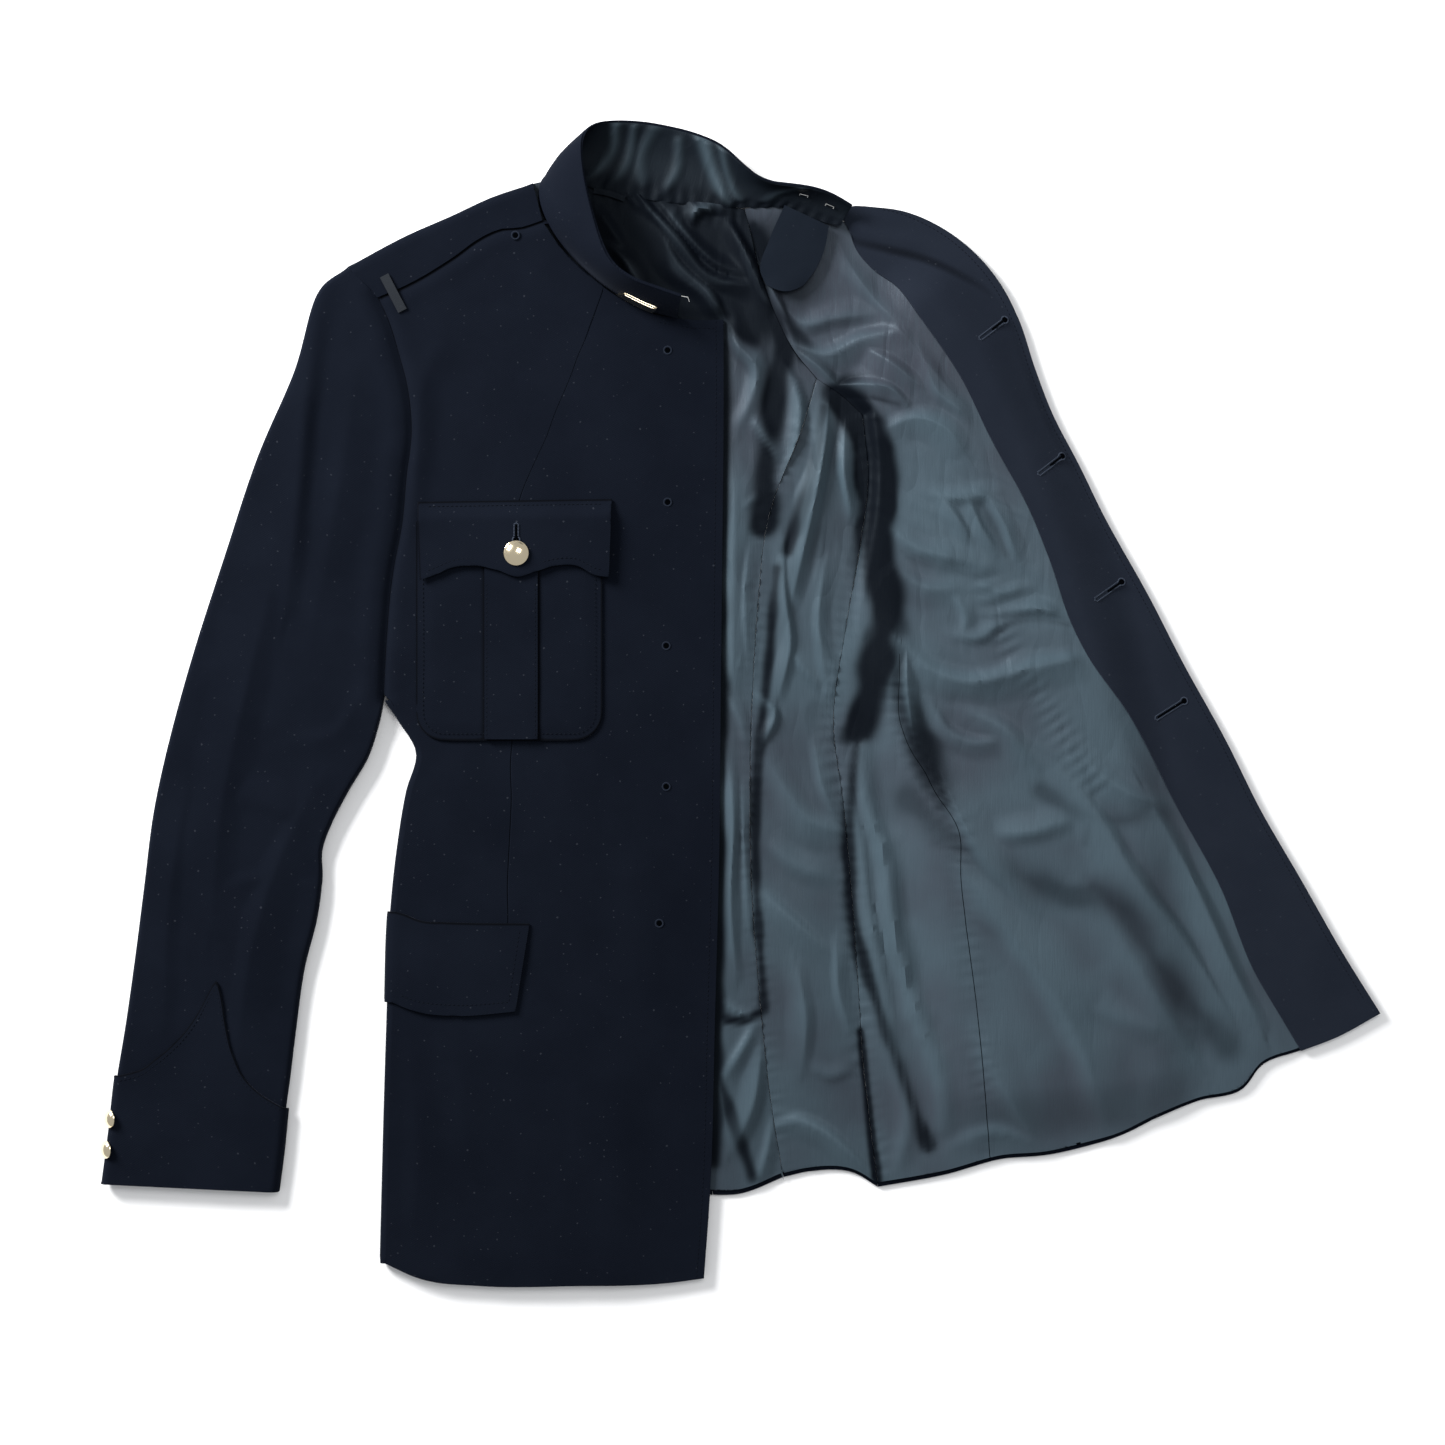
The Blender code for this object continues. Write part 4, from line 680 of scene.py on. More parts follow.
def right_front():
    fold = np.vstack([smooth_line(SIDE_FOLD, SIDE_ROWS), smooth_line(ARMHOLE, ARMHOLE_ROWS)[1:]])
    left = fold.copy()
    left[:SIDE_ROWS + 1, 0] += FOLD_OUTSIDE[-1][0]
    left[SIDE_ROWS + 1:, 0] += SEAM
    right = chain((FRONT_EDGE, EDGE_ROWS), (NECKLINE, NECK_ROWS))
    head = shifted(smooth_line(SHOULDER_SEAM, 80), -SEAM)
    foot = smooth_line([tuple(left[0])] + FRONT_HEM, 80)
    across, dart_columns = seam_columns(foot, head, left, right, DARTS, 84)
    grid = patch(foot, head, left, right, across)
    under, over = raised(grid, resting_front(grid)), raised(grid, front_top(grid))
    # The seam mark is painted shade along the darts, the armhole and the shoulder seam.
    seam = np.zeros(grid.shape[:2])
    for line, column in zip(DARTS, dart_columns):
        y = grid[:, column, 1]
        shown = (y > -160) & (y < 300)
        over[shown, column, 2] -= 0.55
        seam[shown, column] = 1
    seam[SIDE_ROWS:, 0] = 1
    seam[-1] = 1
    turn = []
    for profile in (FOLD_INSIDE, FOLD_OUTSIDE):
        knots = np.array([(SIDE_TURN, profile[0][1])] + profile[:-1])
        knots = smooth_line(knots, 16)
        turn.append(np.stack([raised(fold[:, None] + (away, 0), height)[:, 0] for away, height in knots], axis=1))
    turned_columns = turn[0].shape[1]
    marks = dict(seam=np.hstack([np.zeros((len(left), turned_columns)), seam]))
    cloth("right_front", np.hstack([turn[0], under]), np.hstack([turn[1], over]), wool, "front_right",
          keep=lambda row, column: column >= turned_columns or row < SIDE_ROWS, marks=marks)


right_front()

# %% [markdown]
# The back lies flat on the floor. On the right it turns over the shoulder and meets the front at the
# shoulder seam. On the left it ends in the hollow where the open front folds away.

# %% Back and left side, wool
CENTRE_BACK = 9
HIDDEN_COLUMNS, SHOWN_COLUMNS = 6, 7
COARSE = 3


def back_grid(fine):
    left = np.vstack([smooth_line(SIDE_FOLD, 10 * fine), smooth_line(ARMHOLE, 9 * fine)[1:], SHOULDER_POINT])
    left[:10 * fine + 1, 0] += SIDE_TURN + GAP
    left[10 * fine + 1:, 0] += SEAM
    right = shifted(chain((BACK_SIDE_SEAM, 15 * fine), (VALLEY_EDGE, 4 * fine + 1)), SEAM)
    foot = chain((BACK_HEM_HIDDEN, HIDDEN_COLUMNS * fine), (BACK_HEM_SHOWN, SHOWN_COLUMNS * fine))
    head = chain((SHOULDER_FOLD, HIDDEN_COLUMNS * fine), (BACK_NECK, SHOWN_COLUMNS * fine))
    return patch(between(left[0], foot, right[0]), between(left[-1], head, right[-1]), left, right)


def towards(line, other, distance):
    """The line moved by distance, point by point, towards another line."""
    way = other - line
    return line + way / np.linalg.norm(way, axis=1)[:, None] * distance


def back_shell():
    grid = back_grid(COARSE)
    middle, turned_over = CENTRE_BACK * COARSE, HIDDEN_COLUMNS * COARSE
    right = raised(grid, 0)[:, :middle + 1].copy()
    right[:, -1, 0] -= SEAM
    right = np.vstack([right[:-1], towards(right[-1], right[-2], 6.0)[None], right[-1:]])
    fold = grid[-1, :turned_over + 1]
    seam = shifted(smooth_line(SHOULDER_SEAM, turned_over), SEAM)
    skins = []
    for profile, wall in ((FOLD_OUTSIDE, 0), (FOLD_INSIDE, WOOL)):
        knots = smooth_line(profile[1:], 12)
        rows = [raised(towards(fold, seam, away)[None], height) for away, height in knots]
        rows += [raised((towards(fold, seam, knots[-1][0]) * (1 - part) + seam * part)[None],
                        knots[-1][1] + (0.4 * bumps(fold, 40, 8) * np.sin(np.pi * part) if part < 1 else 0))
                 for part in np.linspace(0, 1, 9)[1:]]
        skin = np.vstack([right + wall * UP, np.zeros((len(rows) - 1, *right.shape[1:]))])
        skin[len(right) - 1:, :turned_over + 1] = np.vstack(rows)
        skins.append(skin)
    last_flat = len(right) - 1
    cloth("right_back", skins[0], skins[1], wool, "back_right",
          keep=lambda row, column: row < last_flat or column < turned_over)
    left = raised(grid, 0)[:, middle:].copy()
    left[:, 0, 0] += SEAM
    cloth("left_back", left, left + WOOL * UP, wool, "back_left")


def side_grid(fine):
    left = shifted(smooth_line(BACK_SIDE_SEAM, 15 * fine), -SEAM)
    right = shifted(smooth_line(VENT_SEAM, 15 * fine), SEAM)
    foot = between(left[0], smooth_line(SIDE_HEM, 5 * fine), right[0])
    head = between(left[-1], shifted(smooth_line(UNDERARM[::-1], 5 * fine), -SEAM), right[-1])
    return patch(foot, head, left, right)


back_shell()
side_flat = raised(side_grid(COARSE), 0)
cloth("left_side", side_flat, side_flat + WOOL * UP, wool, "side_left")

# %% [markdown]
# The linings carry most of the picture. Satin is slippery and cut with ease, so it falls into folds that
# run from the neck, along the seams and out of the pinch under the arm. Every fold is a row in a table:
# the line it follows, half its width and its height. A negative height is a hollow.

# %% Folds of the linings
BACK_LINING_FOLDS = [
    dict(line=[(-79, 369), (-59, 347), (-44, 330), (-23, 306), (-10, 302), (12, 300)], half=9, rise=4.6),
    dict(line=[(-60, 362), (-40, 336), (-18, 315), (8, 306)], half=8, rise=3.6),
    dict(line=[(-66, 345), (-57, 336), (-46, 315), (-23, 293), (-10, 272), (8, 250)], half=11, rise=4.6),
    dict(line=[(-98, 332), (-85, 319), (-74, 302), (-59, 289)], half=9, rise=3.4),
    dict(line=[(-104, 356), (-92, 338), (-84, 325)], half=8, rise=3.0),
    dict(line=[(-36, 343), (-34, 351), (-18, 356), (-8, 352)], half=7, rise=4.2),
    dict(line=[(-10, 347), (3, 323), (12, 302), (20, 284)], half=8, rise=5.0),
    dict(line=[(-17, 286), (-5, 258), (10, 241), (6, 216), (-2, 199)], half=12, rise=4.6),
    dict(line=[(22, 282), (29, 258), (22, 232), (31, 203)], half=8, rise=-1.6),
    dict(line=[(4, 208), (19, 186), (27, 174)], half=8, rise=3.0),
    dict(line=[(34, 239), (42, 216), (40, 186), (33, 157)], half=8, rise=4.0),
    dict(line=[(-11, 186), (-7, 144), (-9, 81), (-6, 20)], half=13, rise=3.4),
    dict(line=[(-12, 134), (2, 143), (13, 150)], half=6, rise=1.6, crest=1.1),
    dict(line=[(6, 120), (2, 80), (4, 30)], half=7, rise=2.2),
    dict(line=[(-12, 42), (-4, 30), (6, 24)], half=6, rise=1.6, crest=1.1),
    dict(line=[(-10, 4), (-2, -10), (4, -30)], half=7, rise=1.8),
    dict(line=[(-12, -30), (-6, -80), (-8, -140), (-4, -196)], half=10, rise=3.4),
    dict(line=[(1, -60), (2, -110), (5, -160)], half=6, rise=1.8),
    dict(line=[(-14, -214), (-2, -222), (12, -226)], half=5, rise=2.0, crest=1.1),
    dict(line=[(10, -230), (-2, -252), (-12, -268)], half=8, rise=3.0),
    dict(line=[(14, -250), (8, -290), (-6, -320)], half=11, rise=3.6),
    dict(line=[(22, -300), (16, -330), (10, -346)], half=8, rise=2.6),
]
SIDE_LINING_FOLDS = [
    dict(line=[(63, 222), (60, 186), (50, 134), (36, 74)], half=11, rise=5.6),
    dict(line=[(74, 196), (73, 165), (79, 134)], half=8, rise=4.4),
    dict(line=[(30, 118), (31, 80), (35, 40), (27, 6)], half=8, rise=3.6),
    dict(line=[(35, 38), (44, 24), (56, 10)], half=6, rise=1.8, crest=1.1),
    dict(line=[(11, 6), (24, -6), (15, -30)], half=7, rise=3.0),
    dict(line=[(60, 100), (55, 60), (62, 10)], half=9, rise=2.6),
    dict(line=[(16, -36), (34, -66), (50, -86), (72, -92)], half=15, rise=3.2),
    dict(line=[(52, -30), (58, -60), (68, -84)], half=9, rise=2.2),
    dict(line=[(12, -134), (36, -156), (62, -180)], half=9, rise=2.6),
    dict(line=[(18, -100), (40, -118), (66, -126)], half=14, rise=2.0),
    dict(line=[(40, -190), (46, -226), (44, -262)], half=11, rise=2.6),
    dict(line=[(68, -170), (70, -210), (78, -236)], half=7, rise=2.2),
    dict(line=[(24, -302), (40, -300), (56, -306), (76, -322), (92, -338)], half=9, rise=3.6),
    dict(line=[(50, -262), (64, -268), (80, -262)], half=7, rise=1.4),
]
LEFT_LINING_FOLDS = [
    dict(line=[(36, 258), (60, 250), (88, 262), (112, 266)], half=12, rise=4.6),
    dict(line=[(38, 254), (56, 240), (70, 226)], half=8, rise=4.0),
    dict(line=[(66, 228), (90, 228), (108, 224), (118, 214)], half=8, rise=3.6),
    dict(line=[(30, 286), (44, 272), (66, 276), (96, 280)], half=11, rise=3.0),
    dict(line=[(84, 258), (106, 244), (128, 226)], half=10, rise=3.0),
    dict(line=[(74, 322), (90, 296), (112, 272)], half=13, rise=2.2),
    dict(line=[(14, 316), (22, 296), (34, 274)], half=8, rise=3.4),
    dict(line=[(130, 246), (140, 222), (160, 206)], half=9, rise=2.4),
    dict(line=[(104, 196), (124, 204), (146, 196), (160, 178)], half=13, rise=3.0),
    dict(line=[(134, 149), (157, 146), (180, 149)], half=8, rise=2.6),
    dict(line=[(140, 150), (154, 132), (163, 117)], half=8, rise=2.6),
    dict(line=[(176, 148), (188, 126), (197, 104)], half=7, rise=2.6, crest=1.1),
    dict(line=[(160, 152), (170, 128), (182, 108)], half=6, rise=2.2, crest=1.1),
    dict(line=[(108, 124), (124, 110), (142, 105), (170, 98)], half=9, rise=3.0),
    dict(line=[(112, 96), (128, 84), (156, 82)], half=10, rise=2.4),
    dict(line=[(189, 64), (206, 67), (235, 63)], half=7, rise=2.8, crest=1.2),
    dict(line=[(170, 84), (186, 80), (204, 84)], half=6, rise=2.0, crest=1.2),
    dict(line=[(151, 48), (172, 47), (186, 58)], half=8, rise=2.4),
    dict(line=[(118, 40), (132, 26), (158, 16), (206, 25), (247, 34)], half=14, rise=4.6),
    dict(line=[(150, 78), (160, 62), (158, 46)], half=9, rise=2.0),
    dict(line=[(157, -4), (186, -18), (209, -44)], half=12, rise=3.0),
    dict(line=[(118, 40), (118, 12), (122, -20)], half=7, rise=3.2),
    dict(line=[(134, 2), (150, -22), (166, -28), (190, -24)], half=9, rise=2.8),
    dict(line=[(86, -33), (89, -74), (101, -106), (106, -150), (122, -214), (142, -277), (144, -306)],
         half=10, rise=5.6, crest=1.3),
    dict(line=[(78, -60), (86, -100), (92, -150), (104, -210), (112, -262)], half=7, rise=2.4),
    dict(line=[(147, -60), (166, -100), (192, -134), (214, -160)], half=16, rise=3.8),
    dict(line=[(236, -30), (262, -56), (290, -70), (312, -72)], half=14, rise=3.2),
    dict(line=[(240, -60), (262, -92), (280, -124), (310, -160), (352, -226)], half=17, rise=5.0, lean=-0.5),
    dict(line=[(290, -66), (320, -120), (352, -190), (372, -232)], half=17, rise=4.6, lean=-0.5),
    dict(line=[(180, -96), (212, -92), (236, -84)], half=12, rise=2.4),
    dict(line=[(150, -110), (196, -170), (240, -240), (262, -306)], half=24, rise=5.0, lean=0.4),
    dict(line=[(168, -240), (190, -280), (214, -318)], half=16, rise=2.6),
    dict(line=[(254, -140), (296, -210), (330, -262)], half=18, rise=3.0),
    dict(line=[(230, -208), (290, -232), (336, -232)], half=18, rise=1.8),
    dict(line=[(150, -318), (180, -308), (214, -316)], half=10, rise=2.2),
    dict(line=[(110, -262), (118, -300), (112, -334)], half=9, rise=2.6),
]
# Lines of painted shade on the linings: each row gives the line, half its width and its strength. They change no
# height; they only darken the satin's colour where it lies in shade.
PAINTED_SHADE_LINES = [
    dict(line=[(-112, 362), (-84, 338), (-44, 322), (-14, 316), (6, 296)], half=70, rise=1.2),
    dict(line=[(-60, 300), (-24, 286), (0, 270)], half=34, rise=1.1),
    dict(line=[(20, 284), (30, 258), (24, 222), (18, 180), (16, 130)], half=16, rise=0.85),
    dict(line=[(-12, 260), (-12, 180), (-14, 80), (-15, -60), (-20, -330)], half=10, rise=0.6),
    dict(line=[(8, 342), (18, 312), (30, 284), (46, 252)], half=13, rise=0.8),
    dict(line=[(46, 252), (60, 240), (72, 224)], half=9, rise=0.8),
    dict(line=[(72, 222), (90, 196), (97, 150), (100, 100), (104, 58), (94, 18), (84, -20)], half=24, rise=1.15),
    dict(line=[(60, 212), (55, 180), (44, 140), (34, 110)], half=9, rise=0.7),
    dict(line=[(26, 96), (22, 60), (20, 30), (14, -20), (10, -90), (16, -220)], half=7, rise=0.55),
    dict(line=[(104, 58), (112, 20), (126, -20), (146, -70)], half=22, rise=0.75),
    dict(line=[(84, -20), (78, -90), (84, -170), (98, -216), (112, -260), (134, -318)], half=11, rise=0.75),
    dict(line=[(86, -236), (92, -290), (98, -346)], half=7, rise=0.8),
    dict(line=[(118, -70), (170, -110), (230, -135), (270, -140), (300, -190), (350, -245)], half=26, rise=0.5),
    dict(line=[(214, -62), (240, -78), (270, -84), (300, -80)], half=14, rise=0.45),
    dict(line=[(84, 221), (112, 214)], half=6, rise=0.5),
    dict(line=[(108, 114), (124, 101), (142, 96), (168, 91)], half=6, rise=0.35),
    dict(line=[(168, 146), (180, 126), (189, 106)], half=7, rise=0.4),
    dict(line=[(189, 56), (206, 59), (235, 56)], half=5, rise=0.4),
    dict(line=[(236, -30), (250, -60), (246, -100)], half=8, rise=0.4),
    dict(line=[(-22, -226), (0, -228), (14, -222)], half=6, rise=0.6),
    dict(line=[(-16, -270), (-6, -300), (8, -340)], half=8, rise=0.5),
]
LINING_SEAMS = [[(112, 150), (114, 90), (113, 40), (113, 19), (113, -12), (121, -33), (132, -51), (141, -68),
                 (154, -86), (157, -127), (168, -214), (179, -331)]]
CRUMPLES = [[(175, 92), (183, 60), (195, 34), (209, 14), (229, -21), (244, -44), (258, -64)]]


def shade(grid, table):
    """How much painted shade the lines of a table give each point, from 0 to 1: full along a line, none at its half
    width.
    """
    found = np.zeros(grid.shape[:2])
    for row in table:
        away, *_ = near_line(grid, smooth_line(row["line"], 16))
        soft = away / row["half"] + 0.2 * bumps(grid, 19, 77)
        found = np.maximum(found, row["rise"] * (1 - ease(soft)))
    return found**1.2


def lined(name, node, grid, low, table, seams=(), columns=(), gathered=(), seed=1, cover=1.0,
          turn=1.4, depth=0.0):
    """A satin lining over a panel, with its folds, the puckers along its gathered seams and its marks of painted light
    and shade.
    """
    shape = 1.35 * folds(grid, table)
    crumple = 0.2 + 0.8 * ease((grid[..., 1] + 110) / 130)
    ripple = 1.0 * bumps(grid, 44, seed) + crumple * (1.8 * creases(grid, 44, turn, 5.0, seed + 1)
                                                      + 0.9 * creases(grid, 21, turn + 0.4, 4.2, seed + 9))
    for index, line in enumerate(gathered):
        ripple = ripple + puckers(grid, line, 9, 0.9, 8.5, seed + 5 + index)
    height = (shape + ripple + 0.6) * cover
    over = raised(grid, low + LINING + np.maximum(height, -0.1))
    # The seam mark is painted shade along the lining seams, which are also sunk 0.8 mm.
    seam = np.zeros(grid.shape[:2])
    for shown, column in zip(seams, columns):
        y = grid[:, column, 1]
        rows = (y > shown[0]) & (y < shown[1])
        over[rows, column, 2] -= 0.8
        seam[rows, column] = 1
    # lit is how high a point stands in its folds, for the painted light of the satin's colours. The painted shade comes
    # from the shade lines and from depth, an even painted shade over a whole lining, and is less on lit crests.
    lit = np.clip((shape + ripple) / 4.5, 0, 1)
    painted_shade = np.clip(shade(grid, PAINTED_SHADE_LINES) * (1.2 - 0.65 * lit) + depth * (1.2 - 0.6 * lit), 0, 1)
    marks = dict(seam=seam, rise=lit, painted_shade=painted_shade)
    cloth(name, over - 0.6 * UP, over, satin, node, marks=marks, rim=0.2)
    return over


# %% [markdown]
# Under the closed front the back's lining stays flat and only shows in the strip between the front edge
# and the side seam. The folds there fade out before they reach the front edge.

# %% Linings of the back and side
def back_lining():
    grid = back_grid(11)[:, 4 * 11:]
    grid[0] = towards(grid[0], grid[1], 4.0)
    edge = chain((FRONT_EDGE, 26), (NECKLINE, 12), (SHOULDER_SEAM[::-1], 6))
    cover = np.vstack([edge, smooth_line(ARMHOLE[::-1], 4), smooth_line(SIDE_FOLD[::-1], 4), FRONT_HEM])
    away, *_ = near_line(grid, edge)
    shown = np.where(inside(grid, cover), 0.12, 0.12 + 0.88 * ease((away - 1) / 9))
    gathered = [BACK_SIDE_SEAM, [(-126, 377), (-78, 362), (-25, 356), (2, 352)]]
    lined("back_lining", "lining_back", grid, WOOL + GAP, BACK_LINING_FOLDS,
          gathered=gathered, seed=11, cover=shown, turn=1.45, depth=0.3)


def side_lining():
    grid = side_grid(12)
    grid[0] = towards(grid[0], grid[1], 4.0)
    lined("side_lining", "lining_side_left", grid, WOOL + GAP, SIDE_LINING_FOLDS,
          gathered=[BACK_SIDE_SEAM, VENT_SEAM], seed=23, turn=1.5, depth=0.27)


back_lining()
side_lining()

# %% [markdown]
# The open left front is three sheets in one outline. The wool shell lies face down, over the sleeve that
# is trapped beneath it. On it lie the satin lining and, along the front edge, the wool facing.

# %% Left front: shell, lining and facing
SHELL_HEIGHT = 8.0
ROLL_LINE = [(60, 343), (76, 335), (103, 328), (133, 320), (157, 309), (180, 295), (194, 278)]


def left_edges(fine):
    rows = (15 * fine, 4 * fine, 5 * fine)
    left = shifted(chain((VENT_SEAM, rows[0]), (UNDERARM, rows[1]), (VALLEY_EDGE, rows[2])), -SEAM)
    return left, smooth_line(FACING_SEAM, sum(rows)), smooth_line(LEFT_EDGE, sum(rows))


def drape(grid, margin, reach):
    """How far the open front is lifted off the floor by the sleeve beneath it."""
    outline = np.array([row["outer"] for row in LEFT_SLEEVE] + [row["inner"] for row in LEFT_SLEEVE[::-1]], float)
    away, *_ = near_line(grid, np.vstack([outline, outline[:1]]))
    away = np.where(inside(grid, outline), 0, away)
    return SHELL_HEIGHT * (1 - ease((away - margin) / reach))


def left_lift(grid, edge):
    """The lift, brought down to the floor at the panel's own left and right edges."""
    lift = drape(grid, 6, 40)
    side, *_ = near_line(grid, edge)
    return lift * ease(side / 9)


def left_front():
    left, middle, edge = left_edges(COARSE)
    grids = []
    for hem, neck, first, last, count in ((LEFT_HEM, LEFT_NECK, left, middle, 70),
                                          (FACING_HEM, EDGE_NECK, middle, edge, 16)):
        foot = between(first[0], smooth_line(hem, count), last[0])
        head = between(first[-1], smooth_line(neck, count), last[-1])
        grids.append(patch(foot, head, first, last))
    grid = np.hstack([grids[0], grids[1][:, 1:]])
    lift = left_lift(grid, np.vstack([left, edge[::-1]]))
    cloth("left_front", raised(grid, lift), raised(grid, lift + WOOL), wool, "front_left")

    left, middle, edge = left_edges(11)
    foot = between(left[0], smooth_line(LEFT_HEM, 90), middle[0])
    head = between(left[-1], smooth_line(LEFT_NECK, 90), middle[-1])
    across, columns = seam_columns(foot, head, left, middle, LINING_SEAMS, 150)
    grid = patch(foot, head, left, middle, across)
    grid[0] = towards(grid[0], grid[1], 4.0)
    low = left_lift(grid, np.vstack([left, edge[::-1]])) + WOOL + GAP
    side, *_ = near_line(grid, middle)
    lined("left_lining", "lining_front_left", grid, low, LEFT_LINING_FOLDS,
          seams=[(-331, 34)], columns=columns, gathered=[LINING_SEAMS[0][3:], *CRUMPLES, VENT_SEAM], seed=37,
          cover=0.1 + 0.9 * ease(side / 14), turn=-0.85)

    left, middle, edge = left_edges(8)
    foot = between(middle[0], smooth_line(FACING_HEM, 40), edge[0])
    head = between(middle[-1], smooth_line(EDGE_NECK, 40), edge[-1])
    grid = patch(foot, head, middle, edge)
    grid[:, 0, 0] += SEAM
    bottom = left_lift(grid, edge) + WOOL + GAP
    top = bottom + FACING + 0.35 * bumps(grid, 34, 51) * np.sin(np.pi * np.linspace(0, 1, 41)) + 0.5
    away, share, side = near_line(grid, smooth_line(ROLL_LINE, 30))
    fade = np.sin(np.pi * (0.12 + 0.88 * share))**0.6
    top += fade * (1.0 * np.exp(-((away * side - 7) / 6)**2) - 0.7 * np.exp(-(away / 3)**2))
    # The seam mark on the facing is painted shade along its roll line.
    cloth("left_facing", raised(grid, bottom), raised(grid, top), lit_facing_wool, "facing_left",
          marks=dict(seam=0.6 * fade * np.exp(-((away * side + 1.5) / 5)**2)))
    return raised(grid, top)


facing = left_front()

# %% [markdown]
# The sleeves are flattened tubes. Each ring goes over the top, round the rolled edge, back beneath and
# round again. The right one keeps a soft ridge from the crown down to the elbow and a few long folds on
# the forearm.

# %% Sleeves
SLEEVE_ROUND, SLEEVE_EDGE, SLEEVE_SHOULDER = 4.0, 1.2, 0.72
SLEEVE_FOLDS = [
    dict(line=[(-300, 296), (-307, 250), (-312, 204), (-318, 135), (-326, 70)], half=26, rise=4.2, lean=-0.55),
    dict(line=[(-276, 240), (-284, 180), (-296, 110), (-310, 40)], half=18, rise=1.6),
    dict(line=[(-330, 110), (-352, 20), (-372, -70), (-380, -160)], half=24, rise=2.8),
    dict(line=[(-306, -60), (-330, -110), (-352, -180), (-360, -240)], half=18, rise=2.6),
    dict(line=[(-300, -96), (-340, -72), (-384, -66)], half=15, rise=1.4),
    dict(line=[(-304, -132), (-344, -126), (-396, -140)], half=13, rise=1.2),
    dict(line=[(-398, -60), (-410, -140), (-414, -230)], half=14, rise=1.4),
    dict(line=[(-270, 10), (-290, -20), (-330, -30)], half=13, rise=1.3),
]


def mouth_line(fine):
    line = np.vstack([SHOULDER_POINT, smooth_line(ARMHOLE, 9 * fine)[::-1]])
    run = np.r_[0, np.cumsum(np.linalg.norm(np.diff(line, axis=0), axis=1))]
    return line, run / run[-1]


def sleeve_section(row, height, wall, fine):
    """One ring of a flattened sleeve, drawn in by wall."""
    outer, inner = np.array(row["outer"], float), np.array(row["inner"], float)
    width = np.linalg.norm(outer - inner)
    line, own = mouth_line(fine)
    turn = np.linspace(0, np.pi / 2, 6)
    rounding = SLEEVE_ROUND / width
    start = rounding * (1 - np.cos(turn))
    top, low, middle = height - wall, wall, height / 2
    rise = (top - middle) * np.sin(turn)
    inset = wall / width
    flat = np.linspace(rounding + inset, 1 - rounding - inset, 9 * fine)[1:-1]
    shares = np.r_[inset + start, flat, 1 - inset - start[::-1]]
    levels = np.r_[middle + rise, np.full(len(flat), top), middle + rise[::-1]]
    back = shares[::-1][1:-1]
    back_levels = np.r_[middle - rise, np.full(len(flat), low), middle - rise[::-1]][::-1][1:-1]
    shares, levels = np.r_[shares, back], np.r_[levels, back_levels]
    straight = line[0] + own[:, None] * (line[-1] - line[0])
    bulge = (line - straight) * row.get("bow", 0.0)
    shift = np.column_stack([np.interp(shares, own, bulge[:, axis]) for axis in (0, 1)])
    return np.column_stack([outer + shares[:, None] * (inner - outer) + shift, levels])


def rings_between(table, steps, wall, fine, height=None):
    """Rings of a sleeve at even steps, blended smoothly from one row of its table to the next."""
    rows = [sleeve_section(row, height or row["height"], wall, fine) for row in table]
    stack = np.array(rows)
    knots = np.linspace(0, 1, len(rows))
    slopes = np.gradient(stack, knots, axis=0)
    rings = []
    for share in np.linspace(0, 1, steps + 1):
        index = min(int(share * (len(rows) - 1)), len(rows) - 2)
        s = share * (len(rows) - 1) - index
        span = knots[1]
        rings.append((2 * s**3 - 3 * s**2 + 1) * stack[index] + (s**3 - 2 * s**2 + s) * span * slopes[index]
                     + (3 * s**2 - 2 * s**3) * stack[index + 1] + (s**3 - s**2) * span * slopes[index + 1])
    return np.array(rings)


def folded_top(rings, table, seed):
    """The same rings, with folds and small unevenness on their upper side."""
    shape = folds(rings, table) + 0.4 * bumps(rings, 48, seed) + 0.2 * bumps(rings, 19, seed + 1)
    away, *_ = near_line(rings, smooth_line(ARMHOLE, 40))
    shape += 1.6 * np.exp(-((away - 11) / 9)**2) - 1.6 * np.exp(-(away / 3.2)**2)
    upper = ease((rings[..., 2] - 5.2) / 3.5)
    end = ease((len(rings) - 1 - np.arange(len(rings)))[:, None] / 6)
    rings = rings.copy()
    rings[..., 2] += shape * upper * end
    return rings


def tube(name, outer, inner, finish, node):
    """A tube of cloth through rings of points: a grid rolled up, closed from the inner skin to the outer."""
    rings = np.concatenate([outer, inner[::-1]])
    steps, around = rings.shape[:2]
    mesh = bmesh.new()
    bmesh.ops.create_grid(mesh, x_segments=around, y_segments=steps, size=1)
    place = mesh.verts.layers.int.new("place")
    points = (rings.reshape(-1, 3) * MM).tolist()
    for vert in mesh.verts:
        column = round((vert.co.x + 1) / 2 * around) % around
        row = round((vert.co.y + 1) / 2 * steps) % steps
        vert[place] = row * around + column
        vert.co = points[vert[place]]
    bmesh.ops.remove_doubles(mesh, verts=mesh.verts[:], dist=1e-7)
    thing = settle(name, mesh, finish, node)
    places = np.zeros(len(thing.data.vertices), np.int32)
    thing.data.attributes["place"].data.foreach_get("value", places)
    for label in ("seam", "rise", "painted_shade"):
        store(thing, label, np.zeros(len(places)))
    corner_of = np.zeros(len(thing.data.loops), np.int32)
    thing.data.loops.foreach_get("vertex_index", corner_of)
    layer = thing.data.uv_layers.new(name="cloth")
    where = rings[..., :2].reshape(-1, 2) * MM
    layer.data.foreach_set("uv", np.ascontiguousarray(where[places[corner_of]], np.float32).reshape(-1))
    closed = np.concatenate([outer, outer[:, :1]], axis=1)
    width, length, area = cut_of(closed)
    print(f"{name}: {len(thing.data.polygons)} faces, cut {width:.3f} round by {length:.3f} m, {area:.4f} m2")
    return thing


